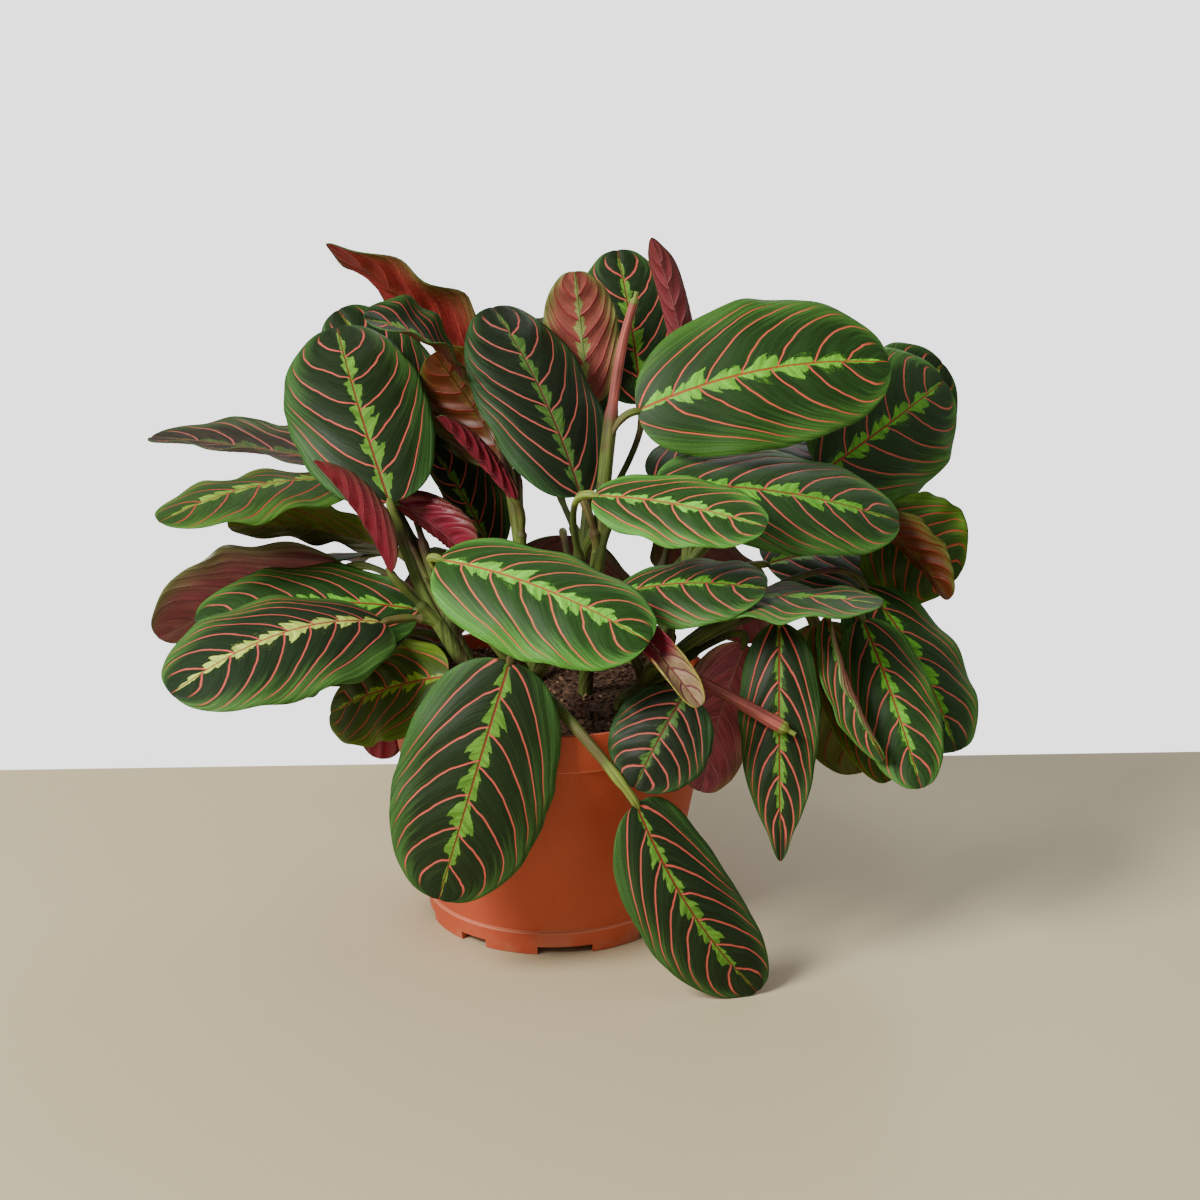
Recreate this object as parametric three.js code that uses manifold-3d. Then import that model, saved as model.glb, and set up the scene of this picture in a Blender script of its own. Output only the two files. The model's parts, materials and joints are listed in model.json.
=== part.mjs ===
// A prayer plant in a nursery pot: thin pot, soil, branching stems and broad oval leaves.
// Millimetres, +Z up. The origin is on the resting surface, under the middle of the pot.
import * as THREE from 'three';
import Module from 'manifold-3d';
import { mergeVertices } from 'three/addons/utils/BufferGeometryUtils.js';

const wasm = await Module();
wasm.setup();

// ---------------------------------------------------------------- driving dimensions
const POT_HEIGHT = 112;
const RIM_RADIUS = 75;
const BASE_RADIUS = 57;
const WALL = 1.8;
const FOOT_HEIGHT = 11; // band round the bottom of the pot
const FOOT_RING = 3; // width of the ring that the pot stands on
const FOOT_FLARE = 0.8; // how much wider the foot is at its top
const BAND_HEIGHT = 17.6; // band under the rim
const STEP = 1; // how far both bands stand out
const EDGE = 0.5; // small slopes on the pot's edges
const FLOOR_Z = 5.5; // underside of the pot's floor
const NOTCHES = 8; // gaps in the foot, wide and narrow in turn
const NOTCH_WIDTHS = [25, 14];
const NOTCH_HEIGHT = 4;
const NOTCH_START = -83; // degrees, the first wide notch
const DRAINS = 6;
const DRAIN_RADIUS = 4;
const DRAIN_RING = 38;

const SOIL_TOP = 104;
const SOIL_CROWN = 1.5; // the soil is a little higher in the middle
const SOIL_BUMP = 1.5;
const SOIL_CLEARANCE = 0.5;
const STEM_BOTTOM = 80; // the stems stand in holes in the soil
const HOLE_CLEARANCE = 0.6;
const HOLE_SIDES = 8;
const COLLAR_HEIGHT = 5; // above the soil, where a stem starts to bend

const LEAF_THICKNESS = 0.7;
const LEAF_STEP = 14; // length of a step along the blade, with 5 to 7 steps in all
const LEAF_STRIPS = 4; // across the blade
const OVAL_POWER = 0.42; // exponent of the blade's outline, and what a pointed blade adds
const POINTED_POWER = 0.28;
const POINTED_SKEW = 0.25; // how far a pointed blade's widest place lies towards its base
const LEAF_END_HALF_WIDTH = 0.9;
const PETIOLE_RADIUS = 1.6;
const SHEATH_RADIUS = 2.7;
const SHEATH_SHARE = 0.45; // share of the petiole inside its sheath, if its leaf has no other
const SHEATH_OVERLAP = 0.04; // share of the petiole hidden in the sheath's mouth
const LEAF_GAP = 0.6; // between a blade and its petiole
const STEM_RADIUS = 3.4;
const STEM_SIDES = 6;
const PETIOLE_SIDES = 5;
const ROUND_SIDES = 36;
const SHOOT_RADIUS = 2.6;
const PETIOLE_ARCH = 0.28; // pull of the petiole's ends, as a share of its length
const SINK = 2.5; // how far a fused petiole reaches into its blade

// ---------------------------------------------------------------- leaves, placed by eye
// name, base, tip, width, direction that the upper side faces, arch (rise of the midrib, mm),
// cup (degrees that each margin turns up), sweep (mm sideways), wave (mm), point (0 oval, 1 pointed)
const LEAVES = [
  ['leaf_upper_left', [-72, 5, 194], [-100, 80, 256], 68, [1, -8, 6], 8, -25, -2, 1],
  ['leaf_left_edge_on', [-80, 46, 196], [-191, 96, 200], 42, [0, -1, 10], 3, 35, 0, 2],
  ['leaf_left_bright', [-90, 42, 193], [-172, -10, 190], 54, [0, -1, 10], 8, -20, 0, 2],
  ['leaf_left_olive', [-76, 26, 166], [-148, 38, 173], 44, [0, 7, 7], 5, 20, 0, 2],
  ['leaf_left_rolled', [-70, -24, 170], [-102, -16, 218], 30, [6, 4, 7], 3, 110, 0, 0],
  ['leaf_left_trough', [-70, 26, 188], [-34, -14, 172], 30, [1, 9, 2], 3, 100, 0, 0],
  ['leaf_top_left_red', [-29, 78, 226], [-100, 50, 302], 56, [3, 5, 8], 6, 30, 0, 3, 1],
  ['leaf_top_left_amber', [-22, 48, 202], [-53, 58, 249], 46, [-3, 8, 5], 6, 25, 0, 2],
  ['leaf_top_left_curled', [-41, 34, 246], [-80, 8, 277], 38, [2, -3, 9], 6, 50, 0, 2],
  ['leaf_upper_centre', [14, 2, 198], [-26, 60, 270], 60, [4, -8, 5], 8, -30, 0, 1],
  ['leaf_top_pink', [17, 72, 222], [11, 62, 286], 36, [0, 8, 3], 3, 20, 0, 1],
  ['leaf_top_centre', [42, 78, 221], [31, 106, 287], 48, [1, -8, 6], 6, -20, 0, 2],
  ['leaf_top_spike', [62, 45, 243], [46, 40, 306], 24, [0, 9, 3], 2, 115, -2, 0, 1],
  ['leaf_upper_right', [39, 10, 235], [150, 20, 255], 72, [-1, -8, 5], 8, -20, -5, 1.5],
  ['leaf_right_dark', [123, 25, 202], [185, 92, 228], 70, [4, -5, 4], 6, -20, 0, 2],
  ['leaf_right_lime', [150, 34, 177], [185, 27, 151], 56, [1, -9, 3], 3, -15, 0, 2],
  ['leaf_right_folded', [140, 14, 186], [180, 4, 150], 32, [2, 6, 6], 4, 70, 0, 1],
  ['leaf_right_centre', [47, -10, 206], [155, 0, 187], 62, [0, -5, 8], 8, -25, 0, 1.5],
  ['leaf_young_lime', [20, -28, 207], [92, -58, 202], 42, [0, -5, 8], 4, -25, 0, 1],
  ['leaf_centre_rear', [48, 40, 193], [98, 86, 197], 46, [0, -5, 8], 5, -20, 0, 1],
  ['leaf_right_shaded', [68, 36, 197], [120, 70, 203], 50, [0, -3, 9], 5, -20, 0, 1],
  ['leaf_front_centre', [-47, -45, 183], [42, -86, 160], 66, [0, -5, 8], 8, -45, 0, 1.5],
  ['leaf_centre_right', [29, -30, 162], [93, -52, 172], 48, [0, -4, 9], 5, -30, 0, 1],
  ['leaf_flat_right', [62, -35, 159], [143, -55, 166], 50, [0, 0, 10], 4, -15, 0, 2],
  ['leaf_drooping_right', [143, 8, 153], [180, -44, 95], 57, [4, -7, 5], 8, -30, 0, 2],
  ['leaf_drooping_inner', [140, -15, 145], [162, -70, 88], 40, [0, -8, 6], 7, -30, 0, 2],
  ['leaf_hanging_hooked', [121, -4, 139], [152, -26, 73], 26, [-4, -6, 4], 5, 70, 0, 1],
  ['leaf_hanging_folded', [122, -38, 155], [145, -68, 100], 22, [-7, -4, 2], 4, 100, 0, 1],
  ['leaf_hanging_olive', [120, 15, 133], [142, 5, 65], 50, [0, 8, 2], 5, 20, 0, 1],
  ['leaf_hanging_pointed', [101, -42, 153], [101, -80, 63], 37, [-1, -9, 4], 6, -25, 0, 2, 1],
  ['leaf_withered', [36, -66, 160], [64, -92, 134], 21, [0, -6, 6], 3, 100, 0, 0],
  ['leaf_small_rim', [59, -74, 132], [38, -90, 96], 46, [-1, -8, 5], 4, -25, 0, 1],
  ['leaf_rim_pink', [86, -36, 141], [67, -64, 84], 40, [0, 8, 4], 4, 20, 0, 2],
  ['leaf_front_left', [-16, -76, 147], [-47, -90, 44], 72, [0, -9, 3], 8, -30, 0, 1.5],
  ['leaf_front_right', [38, -92, 88], [90, -97, 3], 50, [2, -9, 4], 5, -35, 6, 1],
  ['leaf_left_big', [-73, -30, 149], [-157, -95, 140], 71, [-1, -4.5, 9], 13, -25, 0, 1.5],
  ['leaf_left_green', [-60, 0, 145], [-158, -10, 142], 66, [0, -4, 9], 8, -20, 0, 1.5],
  ['leaf_left_red', [-94, 28, 156], [-184, 46, 116], 62, [-1, 7, 6], 6, 25, 0, 2],
  ['leaf_left_yellow', [-44, -47, 130], [-98, -20, 103], 50, [-2, -6, 7], 5, -20, 0, 2],
  ['leaf_low_left_red', [-79, 40, 112], [-82, 46, 56], 34, [1, 8, 2], 2, 20, 0, 1],
  ['leaf_low_left_dark', [-66, 14, 129], [-130, 44, 99], 54, [-3, -3, 8], 6, -25, 0, 2],
  ['leaf_inner_folded', [-28, 62, 151], [-55, 65, 201], 38, [4, -6, 5], 3, 60, 0, 1],
  ['leaf_inner_rolled', [-16, 20, 190], [-49, 12, 231], 15, [2, 6, 5], 2, 120, 0, 0],
];

// Leaves at the back that are fused with their stem.
const BACK_LEAVES = [
  ['back_left_high', [-54, 78, 192], [-101, 103, 259], 54, [2, -8, 6], 6, -20, 0, 2],
  ['back_left_low', [-40, 72, 150], [-80, 97, 82], 64, [-4, 7, 5], 8, -30, 0, 2],
  ['back_left_side', [-88, 60, 152], [-156, 84, 126], 60, [-2, 3, 9], 7, -25, 0, 2],
  ['back_centre_high', [2, 74, 185], [-6, 103, 255], 58, [0, -8, 4], 6, -20, 0, 2],
  ['back_centre_low', [5, 72, 158], [12, 104, 88], 64, [1, 7, 5], 8, -30, 0, 2],
  ['back_right_high', [134, 72, 188], [186, 108, 232], 68, [5, -7, 4], 5, -20, 0, 3],
  ['back_right_low', [62, 66, 166], [94, 98, 96], 64, [4, 7, 5], 8, -30, 0, 2],
  ['back_right_side', [100, 46, 152], [168, 84, 141], 58, [2, -3, 8], 7, -25, 0, 2],
];

// ---------------------------------------------------------------- stems, placed by eye
// points from the soil upwards, each leaf with the point that its petiole leaves and, where it
// differs, the share of its sheath, and the curves of shoots whose new leaf is still rolled up
const STEMS = [
  {
    name: 'stem_front_left',
    points: [[-24, -24, 104], [-36, -24, 124], [-50, -20, 146]],
    leaves: [['leaf_upper_left', 2, 0.85], ['leaf_left_big', 2], ['leaf_left_rolled', 2],
      ['leaf_left_yellow', 1], ['leaf_left_green', 1]],
  },
  {
    name: 'stem_front',
    points: [[-4, -34, 104], [-8, -40, 118], [-14, -42, 130]],
    leaves: [['leaf_front_left', 1], ['leaf_front_centre', 2], ['leaf_front_right', 2, 0.88], ['leaf_withered', 1]],
  },
  {
    name: 'stem_left',
    points: [[-34, 6, 104], [-41, 9, 123], [-50, 16, 140]],
    leaves: [['leaf_left_edge_on', 2], ['leaf_left_bright', 2], ['leaf_left_olive', 2], ['leaf_left_red', 1],
      ['leaf_low_left_dark', 1], ['leaf_low_left_red', 0], ['leaf_left_trough', 2]],
  },
  {
    name: 'stem_upper_left',
    points: [[-8, 14, 104], [-10, 18, 135], [-14, 22, 165]],
    leaves: [['leaf_top_left_red', 2], ['leaf_top_left_amber', 2], ['leaf_top_left_curled', 2],
      ['leaf_inner_folded', 1], ['leaf_inner_rolled', 2]],
  },
  {
    name: 'stem_upper',
    points: [[16, -2, 104], [18, -2, 140], [22, 0, 172]],
    leaves: [['leaf_upper_centre', 2], ['leaf_upper_right', 2], ['leaf_right_centre', 1],
      ['leaf_young_lime', 1]],
    shoots: [[[22, 0, 172], [26, 8, 220], [32, 20, 260], [39, 25, 286]]],
  },
  {
    name: 'stem_back',
    points: [[8, 36, 104], [10, 42, 130], [14, 48, 155]],
    leaves: [['leaf_top_pink', 2], ['leaf_top_centre', 2], ['leaf_centre_rear', 2],
      ['back_centre_high', 2], ['back_centre_low', 1]],
  },
  {
    name: 'stem_back_left',
    points: [[-20, 38, 104], [-28, 44, 128], [-38, 48, 150]],
    leaves: [['back_left_high', 2], ['back_left_low', 1], ['back_left_side', 2]],
  },
  {
    name: 'stem_right',
    points: [[44, 8, 104], [52, 12, 132], [62, 16, 160]],
    leaves: [['leaf_right_dark', 2], ['leaf_right_folded', 2],
      ['leaf_top_spike', 2], ['leaf_right_shaded', 2]],
  },
  {
    name: 'stem_back_right',
    points: [[38, 38, 104], [46, 44, 126], [56, 48, 146]],
    leaves: [['leaf_right_lime', 2], ['back_right_high', 2], ['back_right_low', 1], ['back_right_side', 1]],
  },
  {
    name: 'stem_front_right',
    points: [[32, -22, 104], [42, -26, 118], [52, -28, 130]],
    leaves: [['leaf_centre_right', 1], ['leaf_flat_right', 2], ['leaf_drooping_right', 2],
      ['leaf_drooping_inner', 2], ['leaf_hanging_hooked', 2], ['leaf_hanging_folded', 2],
      ['leaf_hanging_olive', 1], ['leaf_hanging_pointed', 2], ['leaf_small_rim', 1], ['leaf_rim_pink', 1]],
    shoots: [[[42, -26, 118], [50, -44, 134], [78, -62, 126], [107, -72, 112]]],
  },
];

// ---------------------------------------------------------------- materials
const material = (color, roughness) => new THREE.MeshStandardMaterial({ color, roughness, metalness: 0 });
const TERRACOTTA = material('#c4532f', 0.5);
const PEAT = material('#3a261b', 0.95);
const STEM_GREEN = material('#6d7a45', 0.55);
const LEAF_GREEN = material('#2f5a2c', 0.45);
const LEAF_LIME = material('#7fae35', 0.45);
const LEAF_OLIVE = material('#79772f', 0.5);
const LEAF_CRIMSON = material('#8e2f3c', 0.5);
const LEAF_WITHERED = material('#b39a6a', 0.8);

// Young leaves are lime, and what shows of some others is their underside.
const LEAF_COLOURS = new Map([
  ['leaf_left_bright', LEAF_LIME],
  ['leaf_right_lime', LEAF_LIME],
  ['leaf_young_lime', LEAF_LIME],
  ['leaf_front_centre', LEAF_LIME],
  ['leaf_left_olive', LEAF_OLIVE],
  ['leaf_top_left_amber', LEAF_OLIVE],
  ['leaf_hanging_olive', LEAF_OLIVE],
  ['leaf_left_yellow', LEAF_OLIVE],
  ['leaf_top_pink', LEAF_OLIVE],
  ['leaf_left_rolled', LEAF_CRIMSON],
  ['leaf_left_trough', LEAF_CRIMSON],
  ['leaf_left_red', LEAF_CRIMSON],
  ['leaf_low_left_red', LEAF_CRIMSON],
  ['leaf_top_left_red', LEAF_CRIMSON],
  ['leaf_top_spike', LEAF_CRIMSON],
  ['leaf_inner_rolled', LEAF_CRIMSON],
  ['leaf_rim_pink', LEAF_CRIMSON],
  ['leaf_withered', LEAF_WITHERED],
]);

// ---------------------------------------------------------------- helpers
const vector = ([x, y, z]) => new THREE.Vector3(x, y, z);
const radians = THREE.MathUtils.degToRad;

function solid(geometry) {
  geometry.deleteAttribute('normal');
  geometry.deleteAttribute('uv');
  const merged = mergeVertices(geometry, 1e-4);
  return new wasm.Manifold(new wasm.Mesh({
    numProp: 3,
    vertProperties: new Float32Array(merged.attributes.position.array),
    triVerts: new Uint32Array(merged.index.array),
  }));
}

function geometryOf(manifold) {
  const mesh = manifold.getMesh();
  const geometry = new THREE.BufferGeometry();
  geometry.setAttribute('position', new THREE.BufferAttribute(new Float32Array(mesh.vertProperties), 3));
  geometry.setIndex(new THREE.BufferAttribute(new Uint32Array(mesh.triVerts), 1));
  geometry.computeVertexNormals();
  return geometry;
}

function named(name, geometry, finish) {
  const mesh = new THREE.Mesh(geometry, finish);
  mesh.name = name;
  return mesh;
}

// A round solid about the Z axis from [radius, height] points.
function turned(points, sides) {
  const geometry = new THREE.LatheGeometry(points.map(([r, z]) => new THREE.Vector2(r, z)), sides);
  return geometry.rotateX(Math.PI / 2);
}

// A rod of constant radius along a curve.
function rod(curve, radius, steps, sides) {
  const outline = new THREE.Shape();
  for (let i = 0; i < sides; i += 1) {
    const turn = (2 * Math.PI * i) / sides;
    const x = radius * Math.cos(turn);
    const y = radius * Math.sin(turn);
    if (i === 0) {
      outline.moveTo(x, y);
    } else {
      outline.lineTo(x, y);
    }
  }
  outline.closePath();
  return solid(new THREE.ExtrudeGeometry(outline, { steps, extrudePath: curve, curveSegments: 1 }));
}

// ---------------------------------------------------------------- pot and soil
function pot() {
  const bandBottom = POT_HEIGHT - BAND_HEIGHT;
  const under = RIM_RADIUS - 2 * STEP; // body radius just below the band
  const footTop = BASE_RADIUS + FOOT_FLARE;
  const body = solid(turned([
    [0, FLOOR_Z],
    [BASE_RADIUS - FOOT_RING - 1, FLOOR_Z],
    [BASE_RADIUS - FOOT_RING, 0],
    [BASE_RADIUS - EDGE, 0],
    [footTop, FOOT_HEIGHT],
    [footTop - STEP, FOOT_HEIGHT + EDGE],
    [under, bandBottom - EDGE],
    [under + STEP, bandBottom],
    [RIM_RADIUS, POT_HEIGHT - EDGE],
    [RIM_RADIUS - EDGE, POT_HEIGHT],
    [RIM_RADIUS - WALL - EDGE, POT_HEIGHT],
    [under - WALL, bandBottom],
    [BASE_RADIUS - WALL, FOOT_HEIGHT],
    [BASE_RADIUS - 2 * WALL, FLOOR_Z + WALL],
    [0, FLOOR_Z + WALL],
  ], ROUND_SIDES));
  let cut = body;
  for (let i = 0; i < NOTCHES; i += 1) {
    const turn = radians(NOTCH_START + (360 * i) / NOTCHES);
    const box = new THREE.BoxGeometry(FOOT_HEIGHT, NOTCH_WIDTHS[i % 2], 2 * NOTCH_HEIGHT);
    box.translate(BASE_RADIUS, 0, 0).rotateZ(turn);
    cut = cut.subtract(solid(box));
  }
  for (let i = 0; i < DRAINS; i += 1) {
    const turn = (2 * Math.PI * i) / DRAINS;
    const drill = new THREE.CylinderGeometry(DRAIN_RADIUS, DRAIN_RADIUS, FOOT_HEIGHT, 10);
    drill.rotateX(Math.PI / 2);
    drill.translate(DRAIN_RING * Math.cos(turn), DRAIN_RING * Math.sin(turn), FLOOR_Z);
    cut = cut.subtract(solid(drill));
  }
  return named('pot', geometryOf(cut), TERRACOTTA);
}

function soil() {
  const bandBottom = POT_HEIGHT - BAND_HEIGHT;
  const inner = RIM_RADIUS - 2 * STEP - WALL - SOIL_CLEARANCE;
  const bottom = FLOOR_Z + WALL + SOIL_CLEARANCE;
  const geometry = turned([
    [0, bottom],
    [BASE_RADIUS - 2 * WALL - SOIL_CLEARANCE, bottom],
    [inner, bandBottom],
    [inner + EDGE, SOIL_TOP],
    [inner / 2, SOIL_TOP + SOIL_CROWN],
    [0, SOIL_TOP + SOIL_CROWN],
  ], ROUND_SIDES);
  const position = geometry.attributes.position;
  for (let i = 0; i < position.count; i += 1) {
    const [x, y, z] = [position.getX(i), position.getY(i), position.getZ(i)];
    if (z > SOIL_TOP + SOIL_CROWN / 2) {
      position.setZ(i, z + SOIL_BUMP * Math.sin(x / 9) * Math.cos(y / 7));
    }
  }
  let ground = solid(geometry);
  for (const { points: [[x, y]] } of STEMS) {
    const depth = 2 * (SOIL_TOP - STEM_BOTTOM);
    const wide = STEM_RADIUS + HOLE_CLEARANCE;
    const hole = new THREE.CylinderGeometry(wide, wide, depth, HOLE_SIDES).rotateX(Math.PI / 2);
    hole.translate(x, y, STEM_BOTTOM - HOLE_CLEARANCE / 2 + depth / 2);
    ground = ground.subtract(solid(hole));
  }
  return named('soil', geometryOf(ground), PEAT);
}

// ---------------------------------------------------------------- leaf blades
// The middle surface: s runs 0..1 from base to tip, v runs -1..1 across.
function bladeFrame([, base, tip, width, face, arch, cup, sweep, wave, point = 0]) {
  const start = vector(base);
  const chord = vector(tip).sub(start);
  const along = chord.clone().normalize();
  const up = vector(face);
  up.addScaledVector(along, -up.dot(along)).normalize();
  const side = new THREE.Vector3().crossVectors(along, up);
  return { start, chord, along, up, side, width, arch, cup, sweep, wave, point };
}

function bladePoint(frame, s, v) {
  const bow = 4 * s * (1 - s);
  const skewed = s ** (1 - POINTED_SKEW * frame.point);
  const oval = (4 * skewed * (1 - skewed)) ** (OVAL_POWER + POINTED_POWER * frame.point);
  const across = v * Math.max((frame.width / 2) * oval, LEAF_END_HALF_WIDTH);
  const radius = frame.width / 2 / (radians(frame.cup) || 0.01);
  const out = radius * Math.sin(across / radius);
  const rise = radius * (1 - Math.cos(across / radius))
    + frame.wave * v * v * bow * Math.sin(6 * Math.PI * s + v);
  return frame.start.clone()
    .addScaledVector(frame.chord, s)
    .addScaledVector(frame.up, frame.arch * bow + rise)
    .addScaledVector(frame.side, frame.sweep * bow + out);
}

function bladeNormal(frame, s, v) {
  const step = 0.02;
  const s0 = Math.min(Math.max(s, step), 1 - step);
  const v0 = Math.min(Math.max(v, step - 1), 1 - step);
  const along = bladePoint(frame, s0 + step, v0).sub(bladePoint(frame, s0 - step, v0));
  const across = bladePoint(frame, s0, v0 + step).sub(bladePoint(frame, s0, v0 - step));
  return across.cross(along).normalize();
}

// Both faces are split into the same triangles, and a strip round the margin closes the blade.
function blade(leaf) {
  const frame = bladeFrame(leaf);
  const steps = THREE.MathUtils.clamp(Math.round(frame.chord.length() / LEAF_STEP), 5, 7);
  const columns = LEAF_STRIPS + 1;
  const points = [];
  for (const offset of [LEAF_THICKNESS / 2, -LEAF_THICKNESS / 2]) {
    for (let i = 0; i <= steps; i += 1) {
      for (let j = 0; j <= LEAF_STRIPS; j += 1) {
        const s = (1 - Math.cos((Math.PI * i) / steps)) / 2;
        const v = (2 * j) / LEAF_STRIPS - 1;
        const point = bladePoint(frame, s, v).addScaledVector(bladeNormal(frame, s, v), offset);
        points.push(point.x, point.y, point.z);
      }
    }
  }
  const layer = (steps + 1) * columns;
  const faces = [];
  for (let i = 0; i < steps; i += 1) {
    for (let j = 0; j < LEAF_STRIPS; j += 1) {
      const corner = i * columns + j;
      const [a, b, c, d] = [corner, corner + 1, corner + columns + 1, corner + columns];
      faces.push(a, b, c, a, c, d);
      faces.push(a + layer, c + layer, b + layer, a + layer, d + layer, c + layer);
    }
  }
  const rim = [];
  for (let j = 0; j < LEAF_STRIPS; j += 1) rim.push(j);
  for (let i = 0; i < steps; i += 1) rim.push(i * columns + LEAF_STRIPS);
  for (let j = LEAF_STRIPS; j > 0; j -= 1) rim.push(steps * columns + j);
  for (let i = steps; i > 0; i -= 1) rim.push(i * columns);
  rim.forEach((index, k) => {
    const next = rim[(k + 1) % rim.length];
    faces.push(index, index + layer, next + layer, index, next + layer, next);
  });
  const geometry = new THREE.BufferGeometry();
  geometry.setAttribute('position', new THREE.Float32BufferAttribute(points, 3));
  geometry.setIndex(faces);
  geometry.computeVertexNormals();
  return geometry;
}

// ---------------------------------------------------------------- stems with their petioles
// The part of a curve between two shares of its length.
class Stretch extends THREE.Curve {
  constructor(curve, from, to) {
    super();
    Object.assign(this, { curve, from, to });
  }

  getPoint(share, target = new THREE.Vector3()) {
    return this.curve.getPoint(THREE.MathUtils.lerp(this.from, this.to, share), target);
  }
}

function stem({ name, points, leaves, shoots = [] }) {
  const nodes = points.map(vector);
  const root = nodes[0].clone().setZ(STEM_BOTTOM);
  const collar = nodes[0].clone().setZ(SOIL_TOP + COLLAR_HEIGHT);
  nodes[0] = collar;
  const peg = new THREE.LineCurve3(root, collar.clone().setZ(collar.z + 1));
  let whole = rod(peg, STEM_RADIUS, 1, STEM_SIDES);
  whole = whole.add(rod(new THREE.CatmullRomCurve3(nodes), STEM_RADIUS, 3, STEM_SIDES));
  for (const [leafName, index, share = SHEATH_SHARE] of leaves) {
    const fused = BACK_LEAVES.find((entry) => entry[0] === leafName);
    const frame = bladeFrame(fused ?? LEAVES.find((entry) => entry[0] === leafName));
    const before = index === 0 ? root : nodes[index - 1];
    const growth = nodes[index].clone().sub(before).normalize();
    const start = nodes[index].clone().addScaledVector(growth, -STEM_RADIUS);
    const end = frame.start.clone().addScaledVector(frame.along, fused ? SINK : -LEAF_GAP);
    const pull = start.distanceTo(end) * PETIOLE_ARCH;
    const curve = new THREE.CubicBezierCurve3(
      start,
      start.clone().addScaledVector(growth, pull),
      end.clone().addScaledVector(frame.along, -pull),
      end,
    );
    whole = whole.add(rod(new Stretch(curve, 0, share), SHEATH_RADIUS, 3, PETIOLE_SIDES));
    const upper = new Stretch(curve, share - SHEATH_OVERLAP, 1);
    whole = whole.add(rod(upper, PETIOLE_RADIUS, 3, PETIOLE_SIDES));
    if (fused) {
      whole = whole.add(solid(blade(fused)));
    }
  }
  for (const shoot of shoots) {
    whole = whole.add(rod(new THREE.CatmullRomCurve3(shoot.map(vector)), SHOOT_RADIUS, 5, STEM_SIDES));
  }
  return named(name, geometryOf(whole), STEM_GREEN);
}

// ---------------------------------------------------------------- the plant
const group = new THREE.Group();
group.add(pot(), soil());
STEMS.forEach((entry) => group.add(stem(entry)));
for (const entry of LEAVES) {
  const [name] = entry;
  group.add(named(name, blade(entry), LEAF_COLOURS.get(name) ?? LEAF_GREEN));
}

export default group;
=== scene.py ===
# %% [markdown]
# # A prayer plant in a nursery pot
# The plant has about fifty broad oval leaves on branching stems, in a thin orange pot.
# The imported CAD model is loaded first, as a fixed frame: it says where every piece stands. Each
# of its plain solids is then replaced by a finer piece in the same place, with its colours.

# %% Load the frame
import json
import math
import random
from collections import namedtuple

import bpy
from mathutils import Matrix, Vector, noise


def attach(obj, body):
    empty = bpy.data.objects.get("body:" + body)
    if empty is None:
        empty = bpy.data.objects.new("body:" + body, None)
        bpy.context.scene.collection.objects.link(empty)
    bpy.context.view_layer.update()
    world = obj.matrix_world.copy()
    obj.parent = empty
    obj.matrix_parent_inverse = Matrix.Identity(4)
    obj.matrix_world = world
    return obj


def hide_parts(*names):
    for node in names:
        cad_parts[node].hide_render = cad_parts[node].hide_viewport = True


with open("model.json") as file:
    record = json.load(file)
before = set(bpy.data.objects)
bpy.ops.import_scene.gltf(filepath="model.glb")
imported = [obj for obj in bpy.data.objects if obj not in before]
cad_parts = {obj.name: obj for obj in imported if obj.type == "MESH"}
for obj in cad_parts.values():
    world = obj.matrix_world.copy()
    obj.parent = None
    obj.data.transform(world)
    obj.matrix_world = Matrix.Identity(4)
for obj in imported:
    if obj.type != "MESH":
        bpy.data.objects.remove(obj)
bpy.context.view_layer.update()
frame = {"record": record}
SLOTS = {sub["node"]: sub["material_slot"] for sub in frame["record"]["subparts"]}
MM = 0.001

# %% [markdown]
# The photograph looks down a little on the plant, from just over a metre away. A long lens keeps
# the leaves' sizes true, so the camera is set by its place, its tilt and a lens of 85 mm.

# %% Camera
CAMERA_PLACE = (0.0225, -1.2167, 0.5519)
CAMERA_TILT = 18.3  # degrees below the horizon
bpy.ops.object.camera_add(location=CAMERA_PLACE, rotation=(math.radians(90 - CAMERA_TILT), 0, 0))
camera = bpy.context.object
camera.data.lens = 85
camera.data.sensor_width = 36
camera.data.clip_end = 20
bpy.context.scene.camera = camera
print("camera at", CAMERA_PLACE)

# %% [markdown]
# Small helpers come next. An operator acts on everything that is selected, so a piece is always
# picked alone first. Colours are written as web colours and turned into linear light. Materials are
# built from nodes in code, so the sums and mixes that they use most have short names.

# %% Helpers for picking, colours and nodes


def pick(piece):
    """Selects one object alone and makes it the active one."""
    bpy.ops.object.select_all(action="DESELECT")
    piece.select_set(True)
    bpy.context.view_layer.objects.active = piece


def colour(web):
    """A web colour such as #c4532f as linear red, green, blue and alpha."""
    parts = [int(web[i:i + 2], 16) / 255 for i in (1, 3, 5)]
    linear = [c / 12.92 if c <= 0.04045 else ((c + 0.055) / 1.055) ** 2.4 for c in parts]
    return (*linear, 1.0)


def feed(tree, value, socket):
    """Sets a socket to a number or colour, or links it to another socket."""
    if isinstance(value, bpy.types.NodeSocket):
        tree.links.new(value, socket)
    else:
        socket.default_value = value


def calc(tree, operation, *values):
    made = tree.nodes.new("ShaderNodeMath")
    made.operation = operation
    for socket, value in zip(made.inputs, values):
        feed(tree, value, socket)
    return made.outputs[0]


def times(tree, first, second):
    return calc(tree, "MULTIPLY", first, second)


def minus(tree, first, second):
    return calc(tree, "SUBTRACT", first, second)


def ease(tree, value, low, high, start=0.0, end=1.0):
    """Runs smoothly from start to end while value goes from low to high."""
    made = tree.nodes.new("ShaderNodeMapRange")
    made.interpolation_type = "SMOOTHSTEP"
    for name, given in zip(("Value", "From Min", "From Max", "To Min", "To Max"),
                           (value, low, high, start, end)):
        feed(tree, given, made.inputs[name])
    return made.outputs["Result"]


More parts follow.
